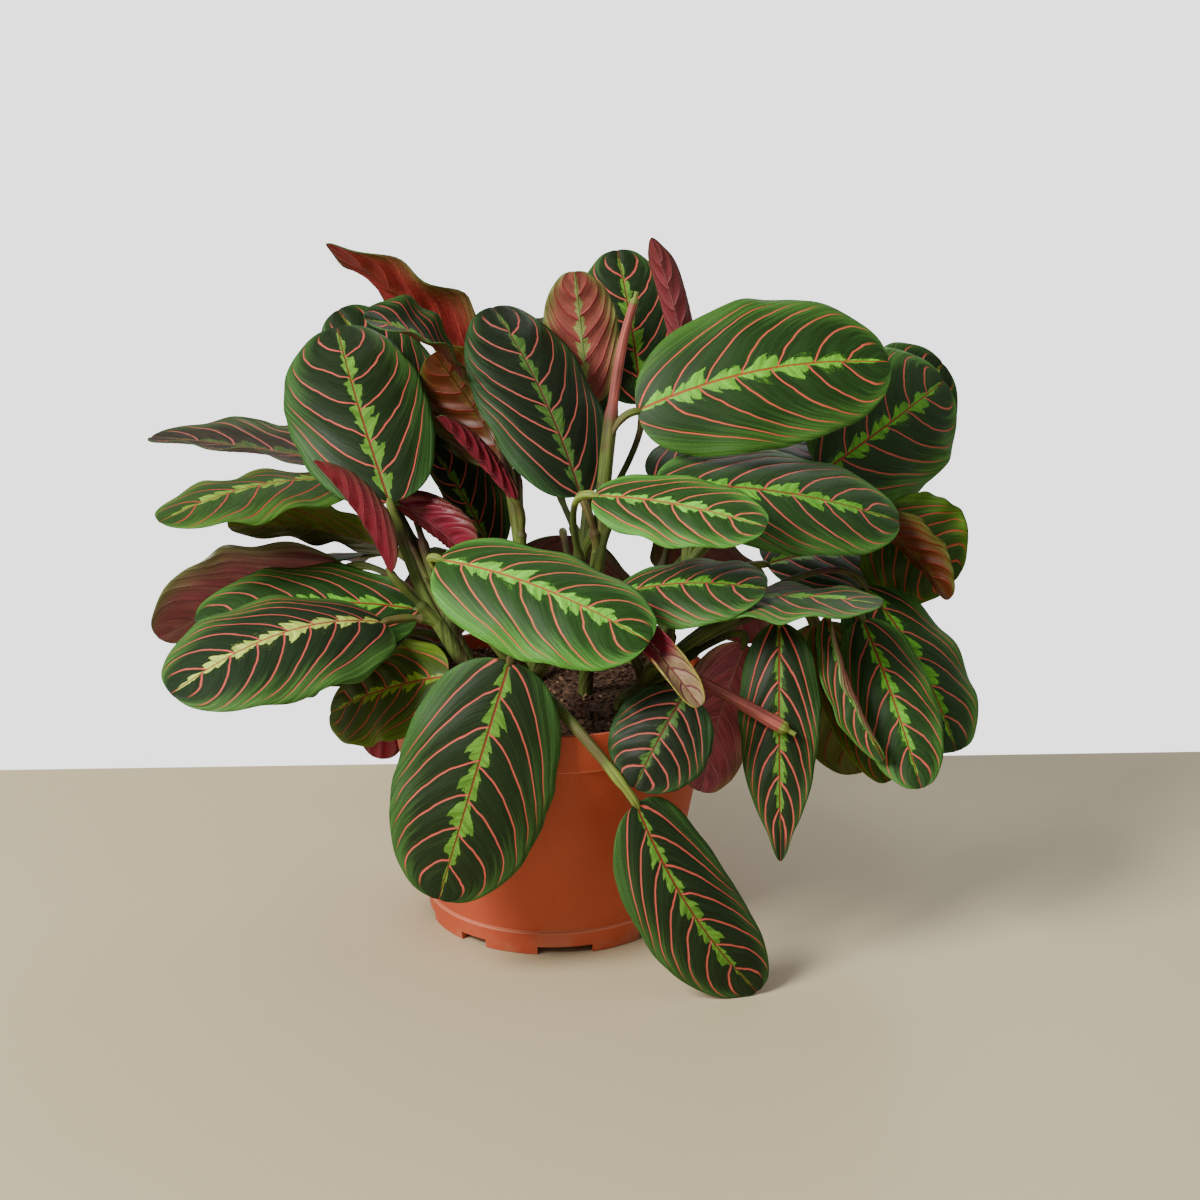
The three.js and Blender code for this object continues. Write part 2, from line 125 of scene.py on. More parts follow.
def blend(tree, share, first, second, mode="MIX"):
    """Mixes two colours by a share."""
    made = tree.nodes.new("ShaderNodeMix")
    made.data_type = "RGBA"
    made.blend_type = mode
    feed(tree, share, made.inputs[0])
    feed(tree, first, made.inputs[6])
    feed(tree, second, made.inputs[7])
    return made.outputs[2]


def speckle(tree, place, scale, detail):
    """Noise from 0 to 1 at a place."""
    made = tree.nodes.new("ShaderNodeTexNoise")
    feed(tree, place, made.inputs["Vector"])
    made.inputs["Scale"].default_value = scale
    made.inputs["Detail"].default_value = detail
    made.inputs["Roughness"].default_value = 0.55
    return made.outputs["Fac"]


def position(tree, x, y, z):
    made = tree.nodes.new("ShaderNodeCombineXYZ")
    for socket, value in zip(made.inputs, (x, y, z)):
        feed(tree, value, socket)
    return made.outputs[0]


def attribute(tree, name):
    made = tree.nodes.new("ShaderNodeAttribute")
    made.attribute_name = name
    return made.outputs["Fac"]


def place_in_space(tree):
    return tree.nodes.new("ShaderNodeTexCoord").outputs["Object"]


def new_finish(name, roughness, specular):
    """An empty material, with its node tree and its shader."""
    finish = bpy.data.materials.new(name)
    finish.use_nodes = True
    shader = finish.node_tree.nodes["Principled BSDF"]
    shader.inputs["Roughness"].default_value = roughness
    shader.inputs["Specular IOR Level"].default_value = specular
    return finish, finish.node_tree, shader


def relief(tree, shader, height, depth):
    """Raises the surface by a height from 0 to 1, with the depth in metres."""
    made = tree.nodes.new("ShaderNodeBump")
    made.inputs["Strength"].default_value = 1.0
    made.inputs["Distance"].default_value = depth
    feed(tree, height, made.inputs["Height"])
    tree.links.new(made.outputs["Normal"], shader.inputs["Normal"])


def dress(piece, finish):
    """Gives a piece one finish in place of all that it had."""
    piece.data.materials.clear()
    piece.data.materials.append(finish)


print("helpers ready")

# %% [markdown]
# A leaf of this plant carries a pattern that follows its veins. Coral side veins leave the midrib
# and sweep towards the tip. Between them the blade is nearly black-green, it turns mid green at
# the margin, and lime lobes with jagged edges line the midrib. Painting this by hand on fifty
# leaves would be slow, so one node group works it out from where a point lies on its leaf.
# `along` runs 0 to 1 from base to tip, and `across` -1 to 1 from margin to margin. `spread` is
# how far out a vein has come: near the base it is the distance from the midrib as a share of the
# leaf's greatest half width, and towards the tip it turns into `across`, so that the veins turn
# in with the margin. A side vein is shifted towards the tip as its spread grows.

# %% The veins' course
VEIN_LEAN = 0.16  # how far a side vein runs towards the tip, wherever it starts
VEIN_SWEEP = 0.44  # how much farther it runs if it starts at the base
STAGGER = 0.2  # the veins of the two sides take turns


def vein_phase(along, spread, laterals):
    """Counts side veins from the base: a whole number is on a vein."""
    out = abs(spread)
    sweep = VEIN_SWEEP * out * out
    start = (along - VEIN_LEAN * out - sweep) / (1 - sweep)
    return laterals * start + (STAGGER if spread > 0 else 0)


print("a side vein from the base meets the margin at", VEIN_LEAN + VEIN_SWEEP, "of the length")

# %% The count of veins in nodes
WANDER = 0.28  # how unevenly the side veins run, as a share of their spacing
WANDER_SCALES = (5.0, 2.5)  # along the leaf and across it


def leaf_noise(group, seed, along, across, scales, detail=2.0):
    """Noise over a leaf, with its own scale each way and another part of it for each leaf."""
    place = position(group, times(group, along, scales[0]), times(group, across, scales[1]), seed)
    return speckle(group, place, 1.0, detail)


def count_veins(group, given, side):
    """The same sum as in vein_phase, and how fast the count grows per mm."""
    spread = calc(group, "ABSOLUTE", given["Spread"])
    sweep = times(group, times(group, spread, spread), VEIN_SWEEP)
    rest = minus(group, 1.0, sweep)
    start = calc(group, "MULTIPLY_ADD", spread, -VEIN_LEAN, minus(group, given["Along"], sweep))
    start = calc(group, "DIVIDE", start, rest)
    phase = calc(group, "MULTIPLY_ADD", given["Laterals"], start, times(group, side, STAGGER))
    wander = leaf_noise(group, given["Seed"], given["Along"], given["Across"], WANDER_SCALES)
    phase = calc(group, "MULTIPLY_ADD", minus(group, wander, 0.5), WANDER, phase)

    # The count's slope along the leaf and across it, both per mm.
    down = calc(group, "DIVIDE", 1.0, given["Length"])
    slope = times(group, minus(group, 1.0, start), times(group, spread, 2 * VEIN_SWEEP))
    sideways = calc(group, "DIVIDE", calc(group, "ADD", slope, VEIN_LEAN), given["Breadth"])
    squares = calc(group, "ADD", times(group, down, down), times(group, sideways, sideways))
    steep = calc(group, "SQRT", squares)
    steep = times(group, steep, calc(group, "DIVIDE", given["Laterals"], rest))
    return phase, steep


print("vein count ready")

# %% Veins and midrib
VEIN_WIDTH = 0.35  # mm, from the middle to the edge
MIDRIB_WIDTH = 0.5
VEIN_EDGE = (-0.1, 0.18)  # mm, where a vein's edge starts and ends
MIDRIB_EDGE = (-0.1, 0.2)
MARGIN_END = (0.8, 0.96)  # across, where a side vein fades out
BASE_END = (-0.5, -0.3)  # in the count of veins
TIP_END = (0.93, 0.98)  # along


def draw_veins(group, given, out, phase, share, steep):
    """Thin lines where the count is whole, which end before the margin, the base and the tip."""
    nearest = calc(group, "MINIMUM", share, minus(group, 1.0, share))
    distance = calc(group, "DIVIDE", nearest, steep)
    width = ease(group, out, 0.3, 1.0, VEIN_WIDTH, VEIN_WIDTH * 0.5)
    veins = ease(group, minus(group, distance, width), *VEIN_EDGE, 1.0, 0.0)
    for end in (ease(group, out, *MARGIN_END, 1.0, 0.0), ease(group, phase, *BASE_END),
                ease(group, given["Along"], *TIP_END, 1.0, 0.0)):
        veins = times(group, veins, end)
    return veins


def draw_midrib(group, given):
    """One line along the middle that narrows towards the tip."""
    spread = calc(group, "ABSOLUTE", given["Spread"])
    from_middle = times(group, spread, given["Breadth"])
    width = ease(group, given["Along"], 0.0, 1.0, MIDRIB_WIDTH, MIDRIB_WIDTH * 0.4)
    return ease(group, minus(group, from_middle, width), *MIDRIB_EDGE, 1.0, 0.0)


print("vein width:", VEIN_WIDTH, "midrib width:", MIDRIB_WIDTH)

# %% [markdown]
# One lobe fills the middle of each space between side veins. Its teeth rise slowly and fall
# sharply towards the tip, and chance makes some lobes broad and some thin. The dark heart reaches
# out to the margin, and streaks and fine lines along the side veins break its edge.

# %% Lobes and heart
TEETH = 1.9  # in each lobe
ROUGH_SCALES = (2.6, 14.0)
ROUGH_TEETH = 0.6  # how uneven the teeth are
ROUGH_EDGE = 0.07
LOBE_REACH = 0.095  # of the thinnest lobe, as a share of the half width
LOBE_CHANCE = 0.14  # how much farther the broadest one reaches
LOBE_EDGE = (-0.006, 0.01)
HEART_EDGE = (0.5, 1.12)
STREAKS_IN_HEART = 0.4
LINES_IN_HEART = 0.32


def draw_lobes(group, given, out, side, phase, cell, share):
    dice = group.nodes.new("ShaderNodeTexWhiteNoise")
    feed(group, position(group, cell, side, given["Seed"]), dice.inputs["Vector"])
    chance = dice.outputs["Value"]
    rough = minus(group, leaf_noise(group, given["Seed"], phase, given["Across"], ROUGH_SCALES), 0.5)
    teeth = calc(group, "MULTIPLY_ADD", share, TEETH, chance)
    tooth = calc(group, "FRACT", calc(group, "MULTIPLY_ADD", rough, ROUGH_TEETH, teeth))
    tooth = times(group, calc(group, "POWER", tooth, 0.6), ease(group, tooth, 0.8, 1.0, 1.0, 0.3))
    tooth = calc(group, "MULTIPLY_ADD", tooth, 0.75, 0.4)
    body = times(group, ease(group, share, 0.0, 0.45, 0.2, 1.0),
                 ease(group, share, 0.75, 1.0, 1.0, 0.35))
    luck = calc(group, "FRACT", times(group, chance, 7.3))
    reach = calc(group, "MULTIPLY_ADD", luck, LOBE_CHANCE, LOBE_REACH)
    for factor in (tooth, body, ease(group, given["Along"], 0.7, 1.0, 1.0, 0.35)):
        reach = times(group, reach, factor)
    reach = calc(group, "MULTIPLY_ADD", rough, ROUGH_EDGE, reach)
    return ease(group, minus(group, reach, out), *LOBE_EDGE)


def draw_heart(group, out, streaks, lines):
    edge = calc(group, "MULTIPLY_ADD", minus(group, streaks, 0.5), STREAKS_IN_HEART, out)
    edge = calc(group, "MULTIPLY_ADD", minus(group, lines, 0.5), LINES_IN_HEART, edge)
    return ease(group, edge, *HEART_EDGE, 1.0, 0.0)


print("lobes reach", LOBE_REACH, "to", LOBE_REACH + LOBE_CHANCE, "of the half width")

# %% The leaf pattern as a node group
LEAF_FACTS = ("along", "across", "spread", "length", "breadth", "laterals", "seed")
LEAF_MASKS = ("Veins", "Midrib", "Lobes", "Heart", "Streaks", "Lines", "Swell")
STREAK_SCALES = (4.0, 1.6)  # per side vein, and from the midrib to the margin
LINE_SCALES = (15.0, 2.5)


def build_leaf_pattern():
    group = bpy.data.node_groups.new("leaf_pattern", "ShaderNodeTree")
    for name in LEAF_FACTS:
        group.interface.new_socket(name=name.title(), in_out="INPUT", socket_type="NodeSocketFloat")
    for name in LEAF_MASKS:
        group.interface.new_socket(name=name, in_out="OUTPUT", socket_type="NodeSocketFloat")
    given = group.nodes.new("NodeGroupInput").outputs
    result = group.nodes.new("NodeGroupOutput").inputs
    out = calc(group, "ABSOLUTE", given["Across"])
    side = calc(group, "GREATER_THAN", given["Across"], 0.0)
    phase, steep = count_veins(group, given, side)
    cell = calc(group, "FLOOR", phase)
    share = minus(group, phase, cell)
    streaks = leaf_noise(group, given["Seed"], phase, out, STREAK_SCALES)
    lines = leaf_noise(group, given["Seed"], phase, out, LINE_SCALES, detail=1.0)
    masks = (draw_veins(group, given, out, phase, share, steep), draw_midrib(group, given),
             draw_lobes(group, given, out, side, phase, cell, share),
             draw_heart(group, out, streaks, lines), streaks, lines,
             calc(group, "SINE", times(group, share, math.pi)))
    for name, mask in zip(LEAF_MASKS, masks):
        feed(group, mask, result[name])
    return group


leaf_pattern = build_leaf_pattern()
print("leaf pattern:", len(leaf_pattern.nodes), "nodes")

# %% [markdown]
# The same pattern serves every leaf. Only its colours differ: old leaves are dark, young ones
# lime, leaves with the light behind them are painted warmer and brighter, and the shade tone is
# a painted shade for leaves that lie in the shadow of others. The upper and lower faces have
# materials of their own, because the underside is burgundy with raised pink veins.

# %% Leaf finishes
UPPER = {  # margin, heart, lobes, veins, midrib
    "dark": ("#3c632d", "#1d2e14", "#659a32", "#cc5a4e", "#783a24"),
    # The next tone is a painted shade: darker colours for leaves that lie in the shadow of other leaves.
    "shade": ("#31522a", "#182411", "#4c722e", "#b4584c", "#5c3424"),
    "dim": ("#3f5230", "#302c22", "#44582c", "#a4584e", "#7c3a34"),
    "fresh": ("#447029", "#203c14", "#74c232", "#d05c46", "#a44c2c"),
    "green": ("#4f8234", "#25401b", "#68b230", "#cc5e50", "#8a402a"),
    "pale": ("#4e7a33", "#1e3018", "#c8e060", "#cc584e", "#aa5040"),
    "young": ("#5a9c3a", "#264619", "#7ccc40", "#d26a4e", "#b05a34"),
    "bright": ("#4f7a2a", "#2a4618", "#80a434", "#ac4434", "#8c3e2a"),
    "lime": ("#52761c", "#2a4412", "#74b02c", "#a84632", "#8c4c28"),
    "olive": ("#5c741c", "#364a12", "#7a9a2a", "#a84a38", "#884026"),
    "withered": ("#a39c4a", "#8f7658", "#9c8662", "#6c3a40", "#7a3e3c"),
}
UNDER = {  # blade, margin, lobes, veins, midrib
    "burgundy": ("#5e2028", "#464c20", "#683834", "#843844", "#8a5040"),
    "crimson": ("#701828", "#44341c", "#681a2a", "#7c2632", "#742c36"),
    "red": ("#882c2b", "#4e5428", "#8c4030", "#a8483c", "#8c3c34"),
    "dusky": ("#6c2c38", "#4a5a2c", "#74403c", "#5e2028", "#74403a"),
    "pink": ("#985248", "#74924c", "#98bc68", "#a43c44", "#8cac5c"),
    "rose": ("#7a3238", "#54402c", "#7a363c", "#8c464a", "#86484a"),
    "blush": ("#a04c54", "#8c7a50", "#a05458", "#bc6c70", "#b4706a"),
    "amber": ("#5c2e16", "#4c5a1c", "#5c4a1c", "#7c2a1c", "#5c3418"),
    "olive_under": ("#525c1c", "#465f1a", "#6c7a28", "#84342c", "#74402a"),
    "withered": ("#8c7858", "#a8a04c", "#94805c", "#6c3a40", "#7a3e3c"),
}
GRAIN_SCALE = 1800.0
GRAIN = 0.12  # how much the finest grain lightens and darkens
FLUSH_END = (0.42, 0.6)  # where a withered leaf's crimson base ends
UPPER_RELIEF = 0.0002
UNDER_RELIEF = 0.0003


def place_pattern(tree):
    """Places the leaf pattern and feeds it from the leaf's own attributes."""
    pattern = tree.nodes.new("ShaderNodeGroup")
    pattern.node_tree = leaf_pattern
    for name in LEAF_FACTS:
        feed(tree, attribute(tree, name), pattern.inputs[name.title()])
    return pattern.outputs


def shaded(tree, skin, pattern, broad, fine):
    """Darkens and lightens a colour along the streaks and the fine lines."""
    shade = times(tree, ease(tree, pattern["Streaks"], 0.3, 0.7, 1 - broad, 1 + broad),
                  ease(tree, pattern["Lines"], 0.3, 0.7, 1 - fine, 1 + fine))
    grain = speckle(tree, place_in_space(tree), GRAIN_SCALE, 1.0)
    shade = times(tree, shade, ease(tree, grain, 0.35, 0.65, 1 - GRAIN, 1 + GRAIN))
    return blend(tree, 1.0, skin, position(tree, shade, shade, shade), "MULTIPLY")


def flushed(tree, skin):
    """Turns the half of a blade towards its base crimson."""
    near_base = ease(tree, attribute(tree, "along"), *FLUSH_END, 1.0, 0.0)
    return blend(tree, near_base, skin, colour("#7c2430"))


def upper_finish(name, margin, heart, lobes, veins, midrib):
    finish, tree, shader = new_finish("leaf_upper_" + name, roughness=0.5, specular=0.18)
    pattern = place_pattern(tree)
    skin = blend(tree, pattern["Heart"], colour(margin), colour(heart))
    if name == "withered":
        skin = flushed(tree, skin)
    mottle = ease(tree, pattern["Streaks"], 0.35, 0.65, 0.7, 1.0)
    skin = blend(tree, times(tree, pattern["Lobes"], mottle), skin, colour(lobes))
    skin = shaded(tree, skin, pattern, broad=0.14, fine=0.17)
    skin = blend(tree, pattern["Veins"], skin, colour(veins))
    skin = blend(tree, pattern["Midrib"], skin, colour(midrib))
    feed(tree, skin, shader.inputs["Base Color"])
    feed(tree, ease(tree, pattern["Lines"], 0.2, 0.8, 0.42, 0.6), shader.inputs["Roughness"])
    height = calc(tree, "MULTIPLY_ADD", pattern["Veins"], -0.6,
                  calc(tree, "MULTIPLY_ADD", pattern["Lines"], 0.5, pattern["Swell"]))
    height = calc(tree, "MULTIPLY_ADD", pattern["Midrib"], -1.0, height)
    relief(tree, shader, height, UPPER_RELIEF)
    return finish


def under_finish(name, blade, margin, lobes, veins, midrib):
    finish, tree, shader = new_finish("leaf_under_" + name, roughness=0.42, specular=0.3)
    pattern = place_pattern(tree)
    green = times(tree, minus(tree, 1.0, pattern["Heart"]), 0.9)
    skin = blend(tree, green, colour(blade), colour(margin))
    if name == "withered":
        skin = flushed(tree, skin)
    skin = blend(tree, times(tree, pattern["Lobes"], 0.7), skin, colour(lobes))
    skin = shaded(tree, skin, pattern, broad=0.2, fine=0.16)
    skin = blend(tree, times(tree, pattern["Veins"], 0.8), skin, colour(veins))
    skin = blend(tree, pattern["Midrib"], skin, colour(midrib))
    feed(tree, skin, shader.inputs["Base Color"])
    height = calc(tree, "MULTIPLY_ADD", pattern["Veins"], 0.8, times(tree, pattern["Swell"], -1.0))
    height = calc(tree, "MULTIPLY_ADD", pattern["Midrib"], 1.5, height)
    relief(tree, shader, height, UNDER_RELIEF)
    return finish


upper_finishes = {name: upper_finish(name, *webs) for name, webs in UPPER.items()}
under_finishes = {name: under_finish(name, *webs) for name, webs in UNDER.items()}
print("leaf finishes:", len(upper_finishes), "upper and", len(under_finishes), "lower")

# %% [markdown]
# Each leaf is written as a row: its base and tip in mm, its width, the direction that its upper
# side faces, and how it arches in mm, cups in degrees and waves in mm. The rows place the blades
# as the CAD does. Then come the two finishes, the number of side veins, the sweep to one side and
# whether the leaf is drawn out to a point, where these aren't the usual ones.

# %% The leaves
Leaf = namedtuple("Leaf", "name base tip width facing arch cup wave upper under veins sweep point",
                  defaults=("dark", "burgundy", 6, 0, 0))
LEAVES = [
    Leaf("leaf_upper_left", (-72, 5, 194), (-100, 80, 256), 68, (1, -8, 6), 8, -25, 1, sweep=-2),
    Leaf("leaf_left_edge_on", (-80, 46, 196), (-191, 96, 200), 42, (0, -1, 10), 3, 35, 2, "dim"),
    Leaf("leaf_left_bright", (-90, 42, 193), (-172, -10, 190), 54, (0, -1, 10), 8, -20, 2, "bright"),
    Leaf("leaf_left_olive", (-76, 26, 166), (-148, 38, 173), 44, (0, 7, 7), 5, 20, 2,
         "olive", "olive_under"),
    Leaf("leaf_left_rolled", (-70, -24, 170), (-102, -16, 218), 30, (6, 4, 7), 3, 110, 0,
         under="crimson", veins=5),
    Leaf("leaf_left_trough", (-70, 26, 188), (-34, -14, 172), 30, (1, 9, 2), 3, 100, 0,
         under="crimson", veins=5),
    Leaf("leaf_top_left_red", (-29, 78, 226), (-100, 50, 302), 56, (3, 5, 8), 6, 30, 3,
         under="red", point=1),
    Leaf("leaf_top_left_amber", (-22, 48, 202), (-53, 58, 249), 46, (-3, 8, 5), 6, 25, 2,
         "olive", "amber"),
    Leaf("leaf_top_left_curled", (-41, 34, 246), (-80, 8, 277), 38, (2, -3, 9), 6, 50, 2),
    Leaf("leaf_upper_centre", (14, 2, 198), (-26, 60, 270), 60, (4, -8, 5), 8, -30, 1, "shade", veins=7),
    Leaf("leaf_top_pink", (17, 72, 222), (11, 62, 286), 36, (0, 8, 3), 3, 20, 1, "green", "pink"),
    Leaf("leaf_top_centre", (42, 78, 221), (31, 106, 287), 48, (1, -8, 6), 6, -20, 2),
    Leaf("leaf_top_spike", (62, 45, 243), (46, 40, 306), 24, (0, 9, 3), 2, 115, 0,
         under="rose", sweep=-2, point=1),
    Leaf("leaf_upper_right", (39, 10, 235), (150, 20, 255), 72, (-1, -8, 5), 8, -20, 1.5,
         "fresh", veins=7, sweep=-5),
    Leaf("leaf_right_dark", (123, 25, 202), (185, 92, 228), 70, (4, -5, 4), 6, -20, 2, "green"),
    Leaf("leaf_right_lime", (150, 34, 177), (185, 27, 151), 56, (1, -9, 3), 3, -15, 2, "lime"),
    Leaf("leaf_right_folded", (140, 14, 186), (180, 4, 150), 32, (2, 6, 6), 4, 70, 1, "olive", "amber"),
    Leaf("leaf_right_centre", (47, -10, 206), (155, 0, 187), 62, (0, -5, 8), 8, -25, 1.5,
         "green", veins=7),
    Leaf("leaf_young_lime", (20, -28, 207), (92, -58, 202), 42, (0, -5, 8), 4, -25, 1, "young", "pink"),
    Leaf("leaf_centre_rear", (48, 40, 193), (98, 86, 197), 46, (0, -5, 8), 5, -20, 1, "shade"),
    Leaf("leaf_right_shaded", (68, 36, 197), (120, 70, 203), 50, (0, -3, 9), 5, -20, 1, "shade"),
    Leaf("leaf_front_centre", (-47, -45, 183), (42, -86, 160), 66, (0, -5, 8), 8, -45, 1.5,
         "young", veins=7),
    Leaf("leaf_centre_right", (29, -30, 162), (93, -52, 172), 48, (0, -4, 9), 5, -30, 1, "green"),
    Leaf("leaf_flat_right", (62, -35, 159), (143, -55, 166), 50, (0, 0, 10), 4, -15, 2, "green"),
    Leaf("leaf_drooping_right", (143, 8, 153), (180, -44, 95), 57, (4, -7, 5), 8, -30, 2, "green"),
    Leaf("leaf_drooping_inner", (140, -15, 145), (162, -70, 88), 40, (0, -8, 6), 7, -30, 2, "green"),
    Leaf("leaf_hanging_hooked", (121, -4, 139), (152, -26, 73), 26, (-4, -6, 4), 5, 70, 1,
         "olive", "pink"),
    Leaf("leaf_hanging_folded", (122, -38, 155), (145, -68, 100), 22, (-7, -4, 2), 4, 100, 1,
         "green", "pink"),
    Leaf("leaf_hanging_olive", (120, 15, 133), (142, 5, 65), 50, (0, 8, 2), 5, 20, 1,
         "olive", "olive_under"),
    Leaf("leaf_hanging_pointed", (101, -42, 153), (101, -80, 63), 37, (-1, -9, 4), 6, -25, 2,
         veins=7, point=1),
    Leaf("leaf_withered", (36, -66, 160), (64, -92, 134), 21, (0, -6, 6), 3, 100, 0,
         "withered", "withered", 5),
    Leaf("leaf_small_rim", (59, -74, 132), (38, -90, 96), 46, (-1, -8, 5), 4, -25, 1, "shade"),
    Leaf("leaf_rim_pink", (86, -36, 141), (67, -64, 84), 40, (0, 8, 4), 4, 20, 2, under="blush"),
    Leaf("leaf_front_left", (-16, -76, 147), (-47, -90, 44), 72, (0, -9, 3), 8, -30, 1.5, veins=7),
    Leaf("leaf_front_right", (38, -92, 88), (90, -97, 3), 50, (2, -9, 4), 5, -35, 1, veins=7, sweep=6),
    Leaf("leaf_left_big", (-73, -30, 149), (-157, -95, 140), 71, (-1, -4.5, 9), 13, -25, 1.5,
         "pale", veins=8),
    Leaf("leaf_left_green", (-60, 0, 145), (-158, -10, 142), 66, (0, -4, 9), 8, -20, 1.5,
         "green", veins=7),
    Leaf("leaf_left_red", (-94, 28, 156), (-184, 46, 116), 62, (-1, 7, 6), 6, 25, 2, "green", "dusky"),
    Leaf("leaf_left_yellow", (-44, -47, 130), (-98, -20, 103), 50, (-2, -6, 7), 5, -20, 2,
         "olive", "amber"),
    Leaf("leaf_low_left_red", (-79, 40, 112), (-82, 46, 56), 34, (1, 8, 2), 2, 20, 1,
         under="crimson", veins=5),
    Leaf("leaf_low_left_dark", (-66, 14, 129), (-130, 44, 99), 54, (-3, -3, 8), 6, -25, 2,
         under="crimson"),
    Leaf("leaf_inner_folded", (-28, 62, 151), (-55, 65, 201), 38, (4, -6, 5), 3, 60, 1, under="pink"),
    Leaf("leaf_inner_rolled", (-16, 20, 190), (-49, 12, 231), 15, (2, 6, 5), 2, 120, 0, under="crimson"),
    Leaf("back_left_high", (-54, 78, 192), (-101, 103, 259), 54, (2, -8, 6), 6, -20, 2),
    Leaf("back_left_low", (-40, 72, 150), (-80, 97, 82), 64, (-4, 7, 5), 8, -30, 2),
    Leaf("back_left_side", (-88, 60, 152), (-156, 84, 126), 60, (-2, 3, 9), 7, -25, 2),
    Leaf("back_centre_high", (2, 74, 185), (-6, 103, 255), 58, (0, -8, 4), 6, -20, 2),
    Leaf("back_centre_low", (5, 72, 158), (12, 104, 88), 64, (1, 7, 5), 8, -30, 2),
    Leaf("back_right_high", (134, 72, 188), (186, 108, 232), 68, (5, -7, 4), 5, -20, 3),
    Leaf("back_right_low", (62, 66, 166), (94, 98, 96), 64, (4, 7, 5), 8, -30, 2),
    Leaf("back_right_side", (100, 46, 152), (168, 84, 141), 58, (2, -3, 8), 7, -25, 2),
]
print("leaves:", len(LEAVES))

# %% [markdown]
# A blade starts as a flat grid, because a grid has rows along the leaf and columns across it, as
# the pattern has. Each of its points is moved to its place on the leaf, then the blade is swelled
# a little between its side veins, and a Solidify modifier gives it its thickness and its second
# material.

# %% Outline of a blade
OVAL_POWER = 0.42
POINTED_POWER = 0.28
POINTED_SKEW = 0.25
END_HALF_WIDTH = 0.5
RAGGED = 0.03  # how uneven the outline is, as a share of the width
RAGGED_PITCH = 7  # bumps of the outline along the leaf
RAGGED_STEP = 5.3  # how far apart two leaves read the noise


def blade_frame(leaf):
    """A blade's start, its whole length, and the directions along, above and beside it."""
    start = Vector(leaf.base)
    chord = Vector(leaf.tip) - start
    direction = chord.normalized()
    up = Vector(leaf.facing)
    up = (up - direction * up.dot(direction)).normalized()
    return start, chord, direction, up, direction.cross(up)


def bow(along):
    """0 at both ends of a leaf and 1 in its middle."""
    return 4 * along * (1 - along)


def half_width(leaf, seed, along, across):
    """Half the width at a place, a little uneven as a real outline is."""
    skewed = along ** (1 - POINTED_SKEW * leaf.point)
    oval = max(bow(skewed), 0.0) ** (OVAL_POWER + POINTED_POWER * leaf.point)
    half = max(leaf.width / 2 * oval, END_HALF_WIDTH)
    bump = noise.noise((along * RAGGED_PITCH, 3 if across > 0 else -3, seed * RAGGED_STEP))
    return half * (1 + RAGGED * (1 + leaf.wave) * bow(along) * bump)


def fade(low, high, value):
    """Runs smoothly from 0 to 1 while value goes from low to high."""
    share = min(max((value - low) / (high - low), 0.0), 1.0)
    return share * share * (3 - 2 * share)


def write_facts(mesh, facts):
    """Writes lists of numbers on the mesh's points, for its material to read."""
    for key, values in facts.items():
        mesh.attributes.new(key, "FLOAT", "POINT").data.foreach_set("value", values)


print("outline ready")

# %% Shape of a blade
WAVES = 3  # along each margin
CRINKLE = 0.6  # small waves along the margin
CRINKLE_PITCH = 9
CRINKLE_STEP = 3.7
TIP_LENGTH = 1.6  # the small point at the end
TIP_START = 0.9
HANGING_TIP = 4  # how much longer the tip of the hanging pointed leaf is
VEINS_TURN = (0.35, 0.65)  # along the leaf, where spread turns into across


def bend_blade(mesh, leaf, seed):
    """Moves the points of a flat grid to the leaf, and gives the facts of each."""
    start, chord, direction, up, side = blade_frame(leaf)
    radius = leaf.width / 2 / math.radians(leaf.cup)
    tip = direction * TIP_LENGTH * (HANGING_TIP if leaf.point and direction.z < 0 else 1)
    facts = {key: [] for key in LEAF_FACTS}
    for vertex in mesh.vertices:
        across = vertex.co.x
        along = min(max((1 - math.cos(math.pi * (vertex.co.y + 1) / 2)) / 2, 0.0), 1.0)
        half = half_width(leaf, seed, along, across)
        crinkle = noise.noise((along * CRINKLE_PITCH, across * 2, seed * CRINKLE_STEP))
        out = radius * math.sin(across * half / radius)
        rise = radius * (1 - math.cos(across * half / radius))
        rise += leaf.wave * across * across * bow(along) * math.sin(WAVES * 2 * math.pi * along + across)
        rise += CRINKLE * bow(along) * across ** 4 * crinkle
        place = start + tip * fade(TIP_START, 1.0, along) ** 2 + chord * along
        place += up * (leaf.arch * bow(along) + rise) + side * (leaf.sweep * bow(along) + out)
        vertex.co = place * MM
        breadth = half + (leaf.width / 2 - half) * (1 - fade(*VEINS_TURN, along))
        spread = across * half / breadth
        for key, value in zip(LEAF_FACTS, (along, across, spread, chord.length, breadth,
                                           leaf.veins, seed)):
            facts[key].append(value)
    return facts


print("tip length:", TIP_LENGTH)

# %% Swelling between the veins
SWELL = 0.5  # how far a blade rises between two side veins
SWELLS = {"crimson": 2.6, "red": 2.3, "dusky": 1.0, "amber": 1.2}  # the blades with deep puckers
GROOVE_DEPTH = 0.5  # of the midrib
GROOVE_WIDTH = 1.2
LOWEST = 0.5  # the front leaf's tip rests on the table


def swell_blade(mesh, leaf, facts):
    """Raises the blade between its side veins and sinks it along its midrib."""
    mesh.update()
    normals = [vertex.normal.copy() for vertex in mesh.vertices]
    swell = SWELLS.get(leaf.under, SWELL)
    for i, vertex in enumerate(mesh.vertices):
        along, across, spread = facts["along"][i], facts["across"][i], facts["spread"][i]
        phase = vein_phase(along, spread, leaf.veins)
        hump = math.sin(math.pi * (phase % 1)) ** 2 - 0.5
        inside = bow(along) * (1 - across ** 4) * min(1, abs(across) * 4)
        groove = -GROOVE_DEPTH * math.exp(-(spread * facts["breadth"][i] / GROOVE_WIDTH) ** 2)
        vertex.co += normals[i] * (swell * hump * inside + groove) * MM
        vertex.co.z = max(vertex.co.z, LOWEST * MM)


print("swelling:", SWELL, "to", max(SWELLS.values()), "mm")

